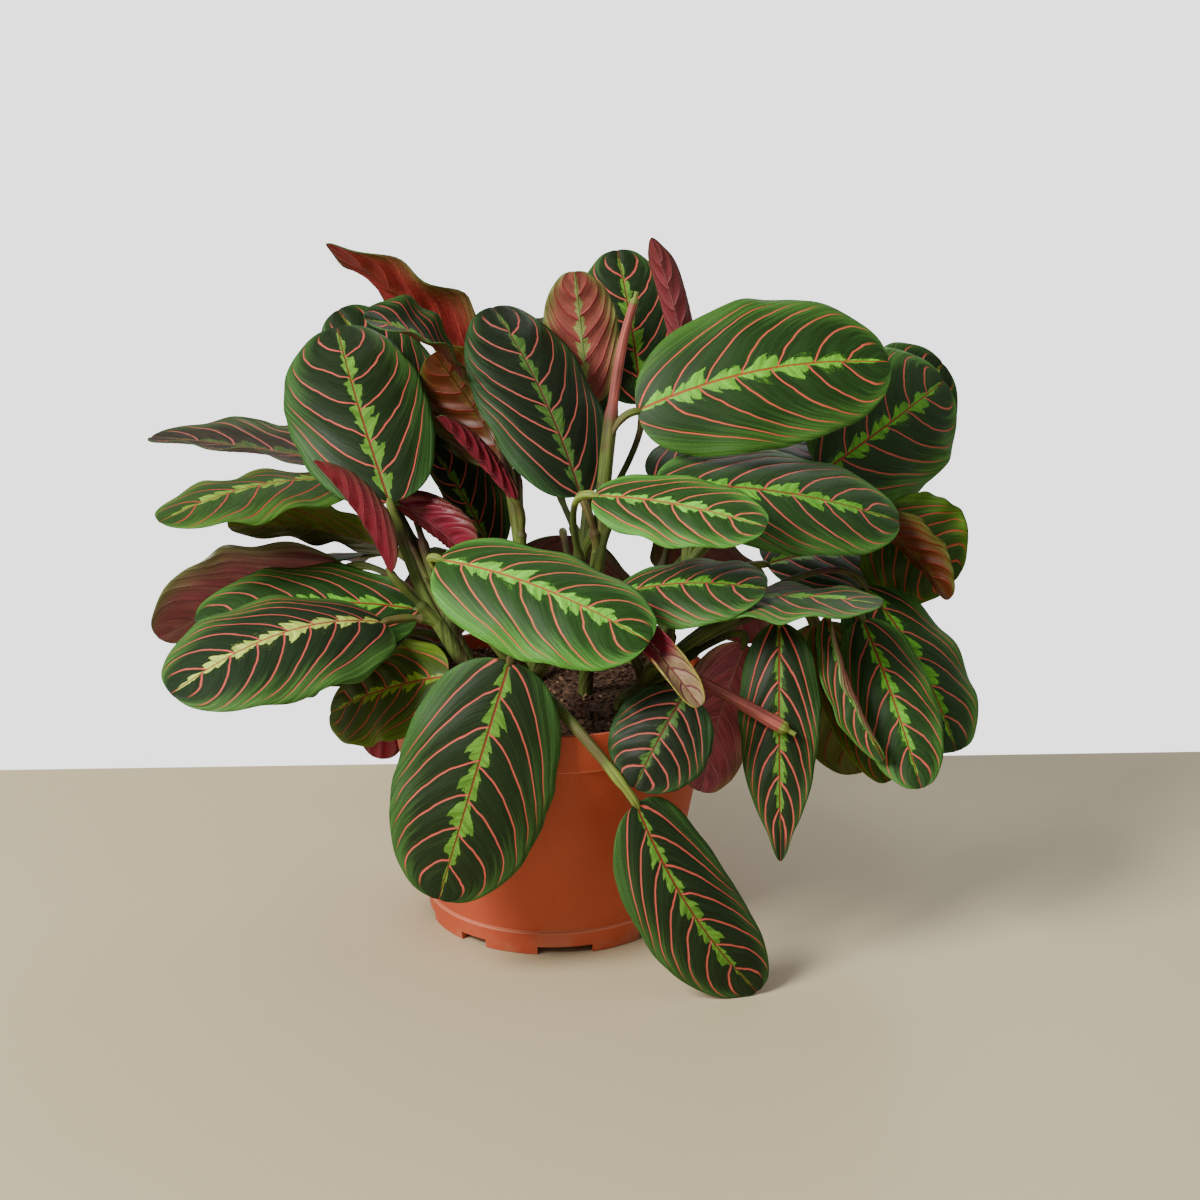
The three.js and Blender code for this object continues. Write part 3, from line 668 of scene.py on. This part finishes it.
# %% The blades
ROWS = 56
COLUMNS = 26
BLADE_THICKNESS = 0.5


def make_blade(leaf, seed):
    bpy.ops.mesh.primitive_grid_add(x_subdivisions=COLUMNS, y_subdivisions=ROWS, size=2)
    blade = bpy.context.object
    blade.name = leaf.name + "_blade"
    facts = bend_blade(blade.data, leaf, seed)
    write_facts(blade.data, facts)
    swell_blade(blade.data, leaf, facts)
    blade.data.materials.append(upper_finishes[leaf.upper])
    blade.data.materials.append(under_finishes[leaf.under])
    pick(blade)
    thick = blade.modifiers.new("thickness", "SOLIDIFY")
    thick.thickness = BLADE_THICKNESS * MM
    thick.offset = 0
    thick.material_offset = 1
    bpy.ops.object.modifier_apply(modifier=thick.name)
    bpy.ops.object.shade_smooth()
    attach(blade, "root")
    if leaf.name in SLOTS:
        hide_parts(leaf.name)
    return blade


blades = [make_blade(leaf, seed) for seed, leaf in enumerate(LEAVES)]
print("blades:", len(blades), "triangles:",
      sum(len(face.vertices) - 2 for blade in blades for face in blade.data.polygons))

# %% [markdown]
# The stems branch just above the soil. A leaf's stalk starts inside a sheath, a rolled skin that
# wraps the stem, runs on as a thin round petiole, and ends in a short swollen joint that tilts
# the blade. All three are one tube whose radius changes, so a curve with a radius at each point
# makes them in one go. Facts are written on each point, for the colours: how much it belongs to
# the sheath, to the joint and to a rolled leaf, how far along the tube it lies, and its place on
# the ring round it, for the lines that run along a stalk.

# %% Tubes
TUBE_FACTS = ("sheath", "joint", "roll")


def tube(places, radii, **facts):
    """A round tube through places in mm, with a radius and its facts for each."""
    curve = bpy.data.curves.new("tube", "CURVE")
    curve.dimensions = "3D"
    curve.bevel_depth = MM
    curve.bevel_resolution = 3
    curve.use_fill_caps = True
    spline = curve.splines.new("POLY")
    spline.points.add(len(places) - 1)
    for point, place, radius in zip(spline.points, places, radii):
        point.co = (*(Vector(place) * MM), 1)
        point.radius = radius
    piece = bpy.data.objects.new("tube", curve)
    bpy.context.collection.objects.link(piece)
    pick(piece)
    bpy.ops.object.convert(target="MESH")
    piece = bpy.context.object
    count = len(piece.data.vertices)
    ring = count // len(places)
    steps = [min(index // ring, len(places) - 1) for index in range(count)]
    turns = [2 * math.pi * (index % ring) / ring for index in range(count)]
    run = [0.0]
    for first, second in zip(places, places[1:]):
        run.append(run[-1] + (Vector(second) - Vector(first)).length)
    plain = [0.0] * len(places)
    known = {"run": run, **{key: facts.get(key, plain) for key in TUBE_FACTS}}
    write_facts(piece.data, {key: [values[step] for step in steps] for key, values in known.items()})
    write_facts(piece.data, {"ring_x": [math.cos(turn) for turn in turns],
                             "ring_y": [math.sin(turn) for turn in turns]})
    return piece


def bezier(a, b, c, d, share):
    rest = 1 - share
    return a * rest ** 3 + b * 3 * share * rest ** 2 + c * 3 * share ** 2 * rest + d * share ** 3


def through(points, share):
    """A smooth curve through a few points."""
    spans = len(points) - 1
    i = min(int(share * spans), spans - 1)
    t = share * spans - i
    p1, p2 = points[i], points[i + 1]
    p0 = points[i - 1] if i else p1 * 2 - p2
    p3 = points[i + 2] if i + 2 <= spans else p2 * 2 - p1
    return 0.5 * (p1 * 2 + (p2 - p0) * t + (p0 * 2 - p1 * 5 + p2 * 4 - p3) * t * t
                  + (p1 * 3 - p0 - p2 * 3 + p3) * t ** 3)


print("tubes ready")

# %% The stems' rows
# name, points from the soil upwards, leaves with the point that each leaves from (and how much of
# the stalk its sheath wraps), shoots with the amount that each widens
STEMS = [
    ("stem_front_left", [(-24, -24, 104), (-36, -24, 124), (-50, -20, 146)],
     [("leaf_upper_left", 2, 0.85), ("leaf_left_big", 2), ("leaf_left_rolled", 2), ("leaf_left_yellow", 1),
      ("leaf_left_green", 1)], []),
    ("stem_front", [(-4, -34, 104), (-8, -40, 118), (-14, -42, 130)],
     [("leaf_front_left", 1), ("leaf_front_centre", 2), ("leaf_front_right", 2, 0.88),
      ("leaf_withered", 1)], []),
    ("stem_left", [(-34, 6, 104), (-41, 9, 123), (-50, 16, 140)],
     [("leaf_left_edge_on", 2), ("leaf_left_bright", 2), ("leaf_left_olive", 2), ("leaf_left_red", 1),
      ("leaf_low_left_dark", 1), ("leaf_low_left_red", 0), ("leaf_left_trough", 2)], []),
    ("stem_upper_left", [(-8, 14, 104), (-10, 18, 135), (-14, 22, 165)],
     [("leaf_top_left_red", 2), ("leaf_top_left_amber", 2), ("leaf_top_left_curled", 2),
      ("leaf_inner_folded", 1), ("leaf_inner_rolled", 2)], []),
    ("stem_upper", [(16, -2, 104), (18, -2, 140), (22, 0, 172)],
     [("leaf_upper_centre", 2), ("leaf_upper_right", 2), ("leaf_right_centre", 1), ("leaf_young_lime", 1)],
     [([(22, 0, 172), (26, 8, 220), (32, 20, 260), (39, 25, 286)], -0.4)]),
    ("stem_back", [(8, 36, 104), (10, 42, 130), (14, 48, 155)],
     [("leaf_top_pink", 2), ("leaf_top_centre", 2), ("leaf_centre_rear", 2), ("back_centre_high", 2),
      ("back_centre_low", 1)], []),
    ("stem_back_left", [(-20, 38, 104), (-28, 44, 128), (-38, 48, 150)],
     [("back_left_high", 2), ("back_left_low", 1), ("back_left_side", 2)], []),
    ("stem_right", [(44, 8, 104), (52, 12, 132), (62, 16, 160)],
     [("leaf_right_dark", 2), ("leaf_right_folded", 2), ("leaf_top_spike", 2),
      ("leaf_right_shaded", 2)], []),
    ("stem_back_right", [(38, 38, 104), (46, 44, 126), (56, 48, 146)],
     [("leaf_right_lime", 2), ("back_right_high", 2), ("back_right_low", 1), ("back_right_side", 1)], []),
    ("stem_front_right", [(32, -22, 104), (42, -26, 118), (52, -28, 130)],
     [("leaf_centre_right", 1), ("leaf_flat_right", 2), ("leaf_drooping_right", 2),
      ("leaf_drooping_inner", 2), ("leaf_hanging_hooked", 2), ("leaf_hanging_folded", 2),
      ("leaf_hanging_olive", 1), ("leaf_hanging_pointed", 2), ("leaf_small_rim", 1), ("leaf_rim_pink", 1)],
     [([(42, -26, 118), (50, -44, 134), (78, -62, 126), (107, -72, 112)], 0.8)]),
]
print("stems:", len(STEMS), "stalks:", sum(len(row[2]) for row in STEMS))

# %% Stalks
STEM_RADIUS = 3.4
SHEATH_RADIUS = 2.7
PETIOLE_RADIUS = 1.55
JOINT_RADIUS = 1.95
JOINT_LENGTH = 11.0
JOINT_RISE = (-3.0, 1.0)  # where a joint swells, from its start
SHEATH_SHARE = 0.45
SHEATH_EDGE = 0.03  # of the stalk, on both sides of the sheath's end
SHEATH_FOOT = 1.08  # how thick a sheath is at its foot, as a multiple of its radius
SHEATH_TAPER = 0.25  # how much of that is gone at its mouth
MOUTH_FLARE = 0.35  # how far a sheath opens at its mouth
MOUTH_START, MOUTH_END = 0.12, 0.02  # of the stalk, before the sheath's end
PETIOLE_ARCH = 0.28
PETIOLE_SLACK = 1.05  # a stalk's length, as a multiple of the straight way
BLADE_GAP = 0.6  # between the stalk's bend and the blade's base
LEAF_REACH = 3.0  # how far the stalk runs under its blade
LEAF_DROP = 0.3
END_RADIUS = 0.6
STALK_STEPS = 30
FRESH, AGED = 1.0, 0.3  # how light green the joint of a young and of an old leaf is
LEAF_OF = {leaf.name: leaf for leaf in LEAVES}


def make_stalk(nodes, root, name, index, sheath_share=SHEATH_SHARE):
    leaf = LEAF_OF[name]
    tone = FRESH if leaf.upper in ("young", "bright") or sheath_share > SHEATH_SHARE else AGED
    start, _, direction, up, _ = blade_frame(leaf)
    growth = (nodes[index] - (nodes[index - 1] if index else root)).normalized()
    first = nodes[index] - growth * STEM_RADIUS
    last = start - direction * BLADE_GAP
    pull = (last - first).length * PETIOLE_ARCH
    length = (last - first).length * PETIOLE_SLACK
    places, radii, sheath, joint = [], [], [], []
    for step in range(STALK_STEPS + 1):
        share = step / STALK_STEPS
        places.append(bezier(first, first + growth * pull, last - direction * pull, last, share))
        wrap = 1 - fade(sheath_share - SHEATH_EDGE, sheath_share + SHEATH_EDGE, share)
        swell = fade(*JOINT_RISE, share * length - (length - JOINT_LENGTH))
        wrapped = SHEATH_RADIUS * (SHEATH_FOOT - SHEATH_TAPER * share / sheath_share)
        wrapped += MOUTH_FLARE * fade(sheath_share - MOUTH_START, sheath_share - MOUTH_END, share)
        bare = PETIOLE_RADIUS + (JOINT_RADIUS - PETIOLE_RADIUS) * swell
        radii.append(bare + (wrapped - bare) * wrap)
        sheath.append(wrap)
        joint.append(swell * tone)
    places.append(start + direction * LEAF_REACH - up * LEAF_DROP)
    return tube(places, radii + [END_RADIUS], sheath=sheath + [0.0], joint=joint + [tone])


print("stalks of", STALK_STEPS, "steps")

# %% Shoots
SHOOT_STEPS = 80
SHOOT_RADIUS = 3.3
ROLL_RADIUS = 2.4
CORE_RADIUS = 1.1  # of the young leaf that looks out of the roll
SHEATH_END = (0.42, 0.48)  # along the shoot
ROLL_FLARE = (0.5, 0.94)
ROLL_MOUTH = (0.948, 0.958)


def make_shoot(points, flare):
    """A sheath with a rolled new leaf that grows out of it."""
    route = [Vector(point) for point in points]
    shares = [i / SHOOT_STEPS for i in range(SHOOT_STEPS + 1)]
    bare = [fade(*SHEATH_END, share) for share in shares]
    mouth = [fade(*ROLL_MOUTH, share) for share in shares]
    radii = [SHOOT_RADIUS - (SHOOT_RADIUS - ROLL_RADIUS) * out + flare * fade(*ROLL_FLARE, share)
             - (ROLL_RADIUS - CORE_RADIUS + flare) * end for share, out, end in zip(shares, bare, mouth)]
    return tube([through(route, share) for share in shares], radii, sheath=[1 - out for out in bare],
                roll=[out - end for out, end in zip(bare, mouth)], joint=mouth)


print("shoots of", SHOOT_STEPS, "steps")

# %% The stems
SOIL_TOP = 104.0
STEM_BOTTOM = 80.0
COLLAR_HEIGHT = 5.0
STEM_STEPS = 14


def make_stem(name, points, leaves, shoots):
    nodes = [Vector(point) for point in points]
    root = Vector((*nodes[0].xy, STEM_BOTTOM))
    nodes[0].z = SOIL_TOP + COLLAR_HEIGHT
    places = [root] + [through(nodes, i / STEM_STEPS) for i in range(STEM_STEPS + 1)]
    parts = [tube(places, [STEM_RADIUS] * len(places), sheath=[0.5] * len(places))]
    parts += [make_stalk(nodes, root, *leaf) for leaf in leaves]
    parts += [make_shoot(*shoot) for shoot in shoots]
    bpy.ops.object.select_all(action="DESELECT")
    for part in parts:
        part.select_set(True)
    bpy.context.view_layer.objects.active = parts[0]
    bpy.ops.object.join()
    stem = bpy.context.object
    stem.name = name + "_grown"
    bpy.ops.object.shade_smooth()
    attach(stem, "root")
    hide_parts(name)
    return stem


stems = [make_stem(*row) for row in STEMS]
print("stems:", len(stems))

# %% [markdown]
# The stalks are green-brown with a red flush, the sheaths paler, the joints light green and the
# rolled leaves pink. Fine lines run along all of them. Noise on Object coordinates would give
# spots, so the lines read their place from the ring round the tube, which follows its bends.

# %% Stem finish
LINES_ROUND = 2.6  # the scale of the lines round a stalk
LINES_ALONG = 0.012  # per mm: low, so that each line runs far along the stalk


def stem_finish():
    finish, tree, shader = new_finish("stem_skin", roughness=0.5, specular=0.25)
    flush = ease(tree, speckle(tree, place_in_space(tree), 45.0, 2.0), 0.42, 0.62)
    skin = blend(tree, flush, colour("#4a5828"), colour("#583a2e"))
    for fact, green, red in (("sheath", "#5e7032", "#5c5830"), ("roll", "#a4564c", "#80443c"),
                             ("joint", "#7c8c3c", "#7c8c3c")):
        covered = blend(tree, flush, colour(green), colour(red))
        skin = blend(tree, attribute(tree, fact), skin, covered)
    along = times(tree, attribute(tree, "run"), LINES_ALONG)
    ring = position(tree, attribute(tree, "ring_x"), attribute(tree, "ring_y"), along)
    lines = speckle(tree, ring, LINES_ROUND, 3.0)
    shade = ease(tree, lines, 0.35, 0.65, 0.65, 1.4)
    skin = blend(tree, 1.0, skin, position(tree, shade, shade, shade), "MULTIPLY")
    feed(tree, skin, shader.inputs["Base Color"])
    relief(tree, shader, lines, depth=0.0006)
    return finish


stem_skin = stem_finish()
for stem in stems:
    dress(stem, stem_skin)
print("stem finish on", len(stems), "stems")

# %% [markdown]
# The pot is a thin moulded shell, with a band round its foot and one under its rim. A profile
# could be spun, but a circle that is pulled up, out and back down inside, ring after ring, closes
# by itself and keeps each edge at its named height. Notches and drain holes are Boolean cuts.

# %% Sizes of the pot
POT_HEIGHT = 112.0
RIM_RADIUS = 75.0
BASE_RADIUS = 57.0
WALL = 1.8
FOOT_HEIGHT = 11.0
BAND_BOTTOM = POT_HEIGHT - 17.6
FLOOR_Z = 5.5
POT_SIDES = 144
NOTCHES = 8
NOTCH_WIDTHS = (25.0, 14.0)
NOTCH_HEIGHT = 4.0
NOTCH_REACH = 11.0
NOTCH_START = -83.0
DRAINS = 6
DRAIN_RADIUS = 4.0
DRAIN_RING = 38.0
POT_PROFILE = [  # radius and height, from the middle of the underside to the middle of the floor
    (2.0, FLOOR_Z), (BASE_RADIUS - 4.2, FLOOR_Z), (BASE_RADIUS - 3.1, 0.4),
    (BASE_RADIUS - 2.8, 0.0), (BASE_RADIUS - 0.8, 0.0), (BASE_RADIUS - 0.3, 0.4),
    # the band round the foot
    (BASE_RADIUS + 0.8, FOOT_HEIGHT - 1.0), (BASE_RADIUS + 0.7, FOOT_HEIGHT - 0.45),
    (BASE_RADIUS + 0.4, FOOT_HEIGHT - 0.1), (BASE_RADIUS, FOOT_HEIGHT),
    (BASE_RADIUS - 0.6, FOOT_HEIGHT), (BASE_RADIUS - 0.6, FOOT_HEIGHT + 0.3),
    # the band under the rim
    (RIM_RADIUS - 2.6, BAND_BOTTOM - 0.4), (RIM_RADIUS - 2.5, BAND_BOTTOM),
    (RIM_RADIUS - 1.3, BAND_BOTTOM), (RIM_RADIUS - 0.9, BAND_BOTTOM + 0.2),
    (RIM_RADIUS - 0.8, BAND_BOTTOM + 0.6), (RIM_RADIUS - 0.1, POT_HEIGHT - 0.9),
    # the rim's lip
    (RIM_RADIUS - 0.3, POT_HEIGHT - 0.25), (RIM_RADIUS - 0.8, POT_HEIGHT),
    (RIM_RADIUS - 1.7, POT_HEIGHT), (RIM_RADIUS - 2.2, POT_HEIGHT - 0.4),
    # the inside
    (RIM_RADIUS - 3.7, BAND_BOTTOM), (BASE_RADIUS - WALL, FOOT_HEIGHT),
    (BASE_RADIUS - WALL - 0.8, FLOOR_Z + 2.6), (BASE_RADIUS - 2 * WALL, FLOOR_Z + WALL),
    (2.0, FLOOR_Z + WALL),
]
print("pot rings:", len(POT_PROFILE))

# %% The pot


def cut_away(piece, target):
    """Cuts one piece out of another and removes it."""
    pick(target)
    cut = target.modifiers.new("cut", "BOOLEAN")
    cut.operation = "DIFFERENCE"
    cut.solver = "EXACT"
    cut.object = piece
    bpy.ops.object.modifier_apply(modifier=cut.name)
    bpy.data.objects.remove(piece, do_unlink=True)


def draw_shell():
    """Pulls a circle through the rings of the profile."""
    radius, height = POT_PROFILE[0]
    bpy.ops.mesh.primitive_circle_add(vertices=POT_SIDES, radius=radius * MM,
                                      location=(0, 0, height * MM), fill_type="NGON")
    shell = bpy.context.object
    shell.name = "nursery_pot"
    bpy.ops.object.transform_apply(location=True)
    bpy.ops.object.mode_set(mode="EDIT")
    bpy.ops.mesh.select_all(action="SELECT")
    for (r0, z0), (r1, z1) in zip(POT_PROFILE, POT_PROFILE[1:]):
        bpy.ops.mesh.extrude_region_move(TRANSFORM_OT_translate={"value": (0, 0, (z1 - z0) * MM)})
        bpy.ops.transform.resize(value=(r1 / r0, r1 / r0, 1), center_override=(0, 0, z1 * MM))
    bpy.ops.mesh.select_all(action="SELECT")
    bpy.ops.mesh.normals_make_consistent(inside=False)
    bpy.ops.object.mode_set(mode="OBJECT")
    return shell


def make_pot():
    pot = draw_shell()
    for i in range(NOTCHES):
        turn = math.radians(NOTCH_START + 360 * i / NOTCHES)
        bpy.ops.mesh.primitive_cube_add(size=1)
        notch = bpy.context.object
        notch.scale = (NOTCH_REACH * MM, NOTCH_WIDTHS[i % 2] * MM, 2 * NOTCH_HEIGHT * MM)
        notch.location = (BASE_RADIUS * math.cos(turn) * MM, BASE_RADIUS * math.sin(turn) * MM, 0)
        notch.rotation_euler = (0, 0, turn)
        cut_away(notch, pot)
    for i in range(DRAINS):
        turn = 2 * math.pi * i / DRAINS
        x, y = DRAIN_RING * math.cos(turn), DRAIN_RING * math.sin(turn)
        bpy.ops.mesh.primitive_cylinder_add(vertices=32, radius=DRAIN_RADIUS * MM,
                                            depth=FOOT_HEIGHT * MM,
                                            location=(x * MM, y * MM, FLOOR_Z * MM))
        cut_away(bpy.context.object, pot)
    pick(pot)
    bpy.ops.object.shade_smooth_by_angle(angle=math.radians(40))
    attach(pot, "root")
    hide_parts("pot")
    return pot


pot = make_pot()
print("pot faces:", len(pot.data.polygons))

# %% [markdown]
# The plastic is satin orange, a little cloudy, with dust at its foot. Light catches the thin edges
# of the two bands, so a painted highlight, a lighter line, is mixed in at the profile's two named heights.

# %% Pot finish
DUST_HEIGHT = 0.02
DUST_AMOUNT = 0.35
# The next is for a painted highlight, a lighter line along each band's edge.
EDGE_HIGHLIGHT = (0.0003, 0.0007)  # how far from a band's edge its light line ends


def pot_finish():
    finish, tree, shader = new_finish("terracotta_plastic", roughness=0.5, specular=0.35)
    place = place_in_space(tree)
    cloud = speckle(tree, place, 14.0, 4.0)
    skin = blend(tree, ease(tree, cloud, 0.3, 0.7), colour("#b44a2e"), colour("#be5437"))
    axes = tree.nodes.new("ShaderNodeSeparateXYZ")
    feed(tree, place, axes.inputs[0])
    height = axes.outputs["Z"]
    dust = times(tree, ease(tree, height, 0.0, DUST_HEIGHT, DUST_AMOUNT, 0.0),
                 ease(tree, speckle(tree, place, 60.0, 4.0), 0.45, 0.7))
    skin = blend(tree, dust, skin, colour("#b58a6c"))
    # A painted highlight: a lighter line where light catches each band's edge.
    for level in (FOOT_HEIGHT, BAND_BOTTOM):
        away = calc(tree, "ABSOLUTE", minus(tree, height, level * MM))
        skin = blend(tree, ease(tree, away, *EDGE_HIGHLIGHT, 0.5, 0.0), skin, colour("#e49c7a"))
    feed(tree, skin, shader.inputs["Base Color"])
    feed(tree, ease(tree, cloud, 0.3, 0.7, 0.45, 0.55), shader.inputs["Roughness"])
    relief(tree, shader, speckle(tree, place, 900.0, 2.0), depth=0.00012)
    return finish


dress(pot, pot_finish())
print("pot finish done")

# %% [markdown]
# The soil is peat with chips of bark. A grid is squeezed to a disc, pulled up to its top and
# heaped with noise there, because a circle's fan of long triangles couldn't hold lumps. The chips
# are small crooked cubes, which are enough at their size, scattered with a fixed seed.

# %% The soil's body
SOIL_RADIUS = 71.2
SOIL_BOTTOM = 7.8
SOIL_CLEARANCE = 0.5
SOIL_GRID = 110
SOIL_HEAP = 1.2
LUMP_SIZE = 9
LUMP_HEIGHT = 1.6


def make_soil():
    bpy.ops.mesh.primitive_grid_add(x_subdivisions=SOIL_GRID, y_subdivisions=SOIL_GRID,
                                    size=2 * SOIL_RADIUS * MM)
    soil = bpy.context.object
    soil.name = "potting_soil"
    for vertex in soil.data.vertices:
        x, y = vertex.co.x, vertex.co.y
        far = max(abs(x), abs(y))
        if far > 0:
            squeeze = far / math.hypot(x, y)
            vertex.co.x, vertex.co.y = x * squeeze, y * squeeze
    soil.location = (0, 0, SOIL_BOTTOM * MM)
    bpy.ops.object.transform_apply(location=True)
    bpy.ops.object.mode_set(mode="EDIT")
    bpy.ops.mesh.select_all(action="SELECT")
    lift = (0, 0, (SOIL_TOP - SOIL_BOTTOM) * MM)
    bpy.ops.mesh.extrude_region_move(TRANSFORM_OT_translate={"value": lift})
    bpy.ops.mesh.select_all(action="SELECT")
    bpy.ops.mesh.normals_make_consistent(inside=False)
    bpy.ops.object.mode_set(mode="OBJECT")
    taper = (BASE_RADIUS - 2 * WALL - SOIL_CLEARANCE) / SOIL_RADIUS
    for vertex in soil.data.vertices:
        if vertex.co.z < SOIL_TOP / 2 * MM:
            vertex.co.x *= taper
            vertex.co.y *= taper
        else:
            lumps = noise.fractal(vertex.co / MM / LUMP_SIZE, 1.0, 2.0, 5)
            vertex.co.z += (SOIL_HEAP + LUMP_HEIGHT * lumps) * MM
    return soil


soil = make_soil()
print("soil body faces:", len(soil.data.polygons))

# %% Chips in the soil
CHIPS = 600
CHIP_SIZES = ((0.8, 2.6), (0.6, 1.6), (0.5, 1.2))
CHIP_HEIGHT = 1.4  # above the soil's nominal top
CHIP_FIELD = 0.97  # of the soil's radius
CHIP_TILT = 0.5
CROOKED = 0.35  # how far a chip's corners move, as a share of its size


def make_chip(dice):
    radius = SOIL_RADIUS * CHIP_FIELD * math.sqrt(dice.random())
    turn = dice.random() * 2 * math.pi
    place = (radius * math.cos(turn) * MM, radius * math.sin(turn) * MM,
             (SOIL_TOP + CHIP_HEIGHT + dice.random()) * MM)
    tilt = (dice.uniform(-CHIP_TILT, CHIP_TILT), dice.uniform(-CHIP_TILT, CHIP_TILT),
            dice.uniform(0, 6.3))
    bpy.ops.mesh.primitive_cube_add(size=1, location=place, rotation=tilt)
    chip = bpy.context.object
    chip.scale = [dice.uniform(low, high) * MM for low, high in CHIP_SIZES]
    for vertex in chip.data.vertices:
        vertex.co += Vector([dice.uniform(-CROOKED, CROOKED) for axis in range(3)])
    write_facts(chip.data, {"chip": [dice.random() ** 3] * len(chip.data.vertices)})
    return chip


dice = random.Random(7)
chips = [make_chip(dice) for i in range(CHIPS)]
bpy.ops.object.select_all(action="DESELECT")
for part in [soil] + chips:
    part.select_set(True)
bpy.context.view_layer.objects.active = soil
bpy.ops.object.transform_apply(location=True, rotation=True, scale=True)
bpy.ops.object.join()
soil = bpy.context.object
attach(soil, "root")
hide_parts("soil")
print("soil faces:", len(soil.data.polygons))

# %% [markdown]
# Moist peat is nearly black, and its crumbs dry to brown. One noise serves for the colour and for
# the relief, so that the raised crumbs are the pale ones. Each chip has its own shade of bark.

# %% Soil finish


def soil_finish():
    finish, tree, shader = new_finish("peat", roughness=0.95, specular=0.2)
    crumbs = speckle(tree, place_in_space(tree), 500.0, 5.0)
    skin = blend(tree, ease(tree, crumbs, 0.35, 0.65), colour("#1a120c"), colour("#6e5240"))
    skin = blend(tree, attribute(tree, "chip"), skin, colour("#b48e6a"))
    feed(tree, skin, shader.inputs["Base Color"])
    relief(tree, shader, crumbs, depth=0.0016)
    return finish


dress(soil, soil_finish())
print("soil finish done")

# %% [markdown]
# The plant stands on a plain pale table that ends behind it, before a pale wall. A wall would hide
# the plant from behind, so the world's colour stands in for it. It is brighter to the camera than
# to the plant, as a wall in full light is. One large soft light from the left is the window, a
# small one behind the plant lights the leaves' edges, and the world fills the shadows.

# %% Table and light
TABLE_REACH = 3.0
TABLE_END_LEFT = 0.055  # the far edge lies a little askew
TABLE_END_RIGHT = 0.305
ROOM_STRENGTH = 0.5
WALL_STRENGTH = 3.0
LAMP_SIZE = 0.8

bpy.ops.mesh.primitive_plane_add(size=1)
table = bpy.context.object
table.name = "table"
for vertex in table.data.vertices:
    right, far = vertex.co.x > 0, vertex.co.y > 0
    end = TABLE_END_RIGHT if right else TABLE_END_LEFT
    vertex.co.x = TABLE_REACH if right else -TABLE_REACH
    vertex.co.y = end if far else -TABLE_REACH
table_top, tree, shader = new_finish("table_top", roughness=0.5, specular=0.3)
feed(tree, colour("#c6b994"), shader.inputs["Base Color"])
table.data.materials.append(table_top)

world = bpy.data.worlds.new("room")
bpy.context.scene.world = world
world.use_nodes = True
room = world.node_tree
background = room.nodes["Background"]
background.inputs["Color"].default_value = colour("#e6e4e6")
seen = room.nodes.new("ShaderNodeLightPath").outputs["Is Camera Ray"]
feed(room, ease(room, seen, 0.0, 1.0, ROOM_STRENGTH, WALL_STRENGTH), background.inputs["Strength"])


def lamp(name, place, aim, power, tint):
    bpy.ops.object.light_add(type="AREA", location=place)
    light = bpy.context.object
    light.name = name
    light.data.size = LAMP_SIZE
    light.data.energy = power
    light.data.color = tint
    light.rotation_euler = (Vector(aim) - Vector(place)).to_track_quat("-Z", "Y").to_euler()


lamp("window", (-1.3, -1.0, 1.5), aim=(0, 0, 0.15), power=72, tint=(1.0, 0.98, 0.95))
lamp("back", (0.4, 1.4, 1.2), aim=(0, 0, 0.2), power=9, tint=(1.0, 0.99, 0.97))
print("table and lights set")
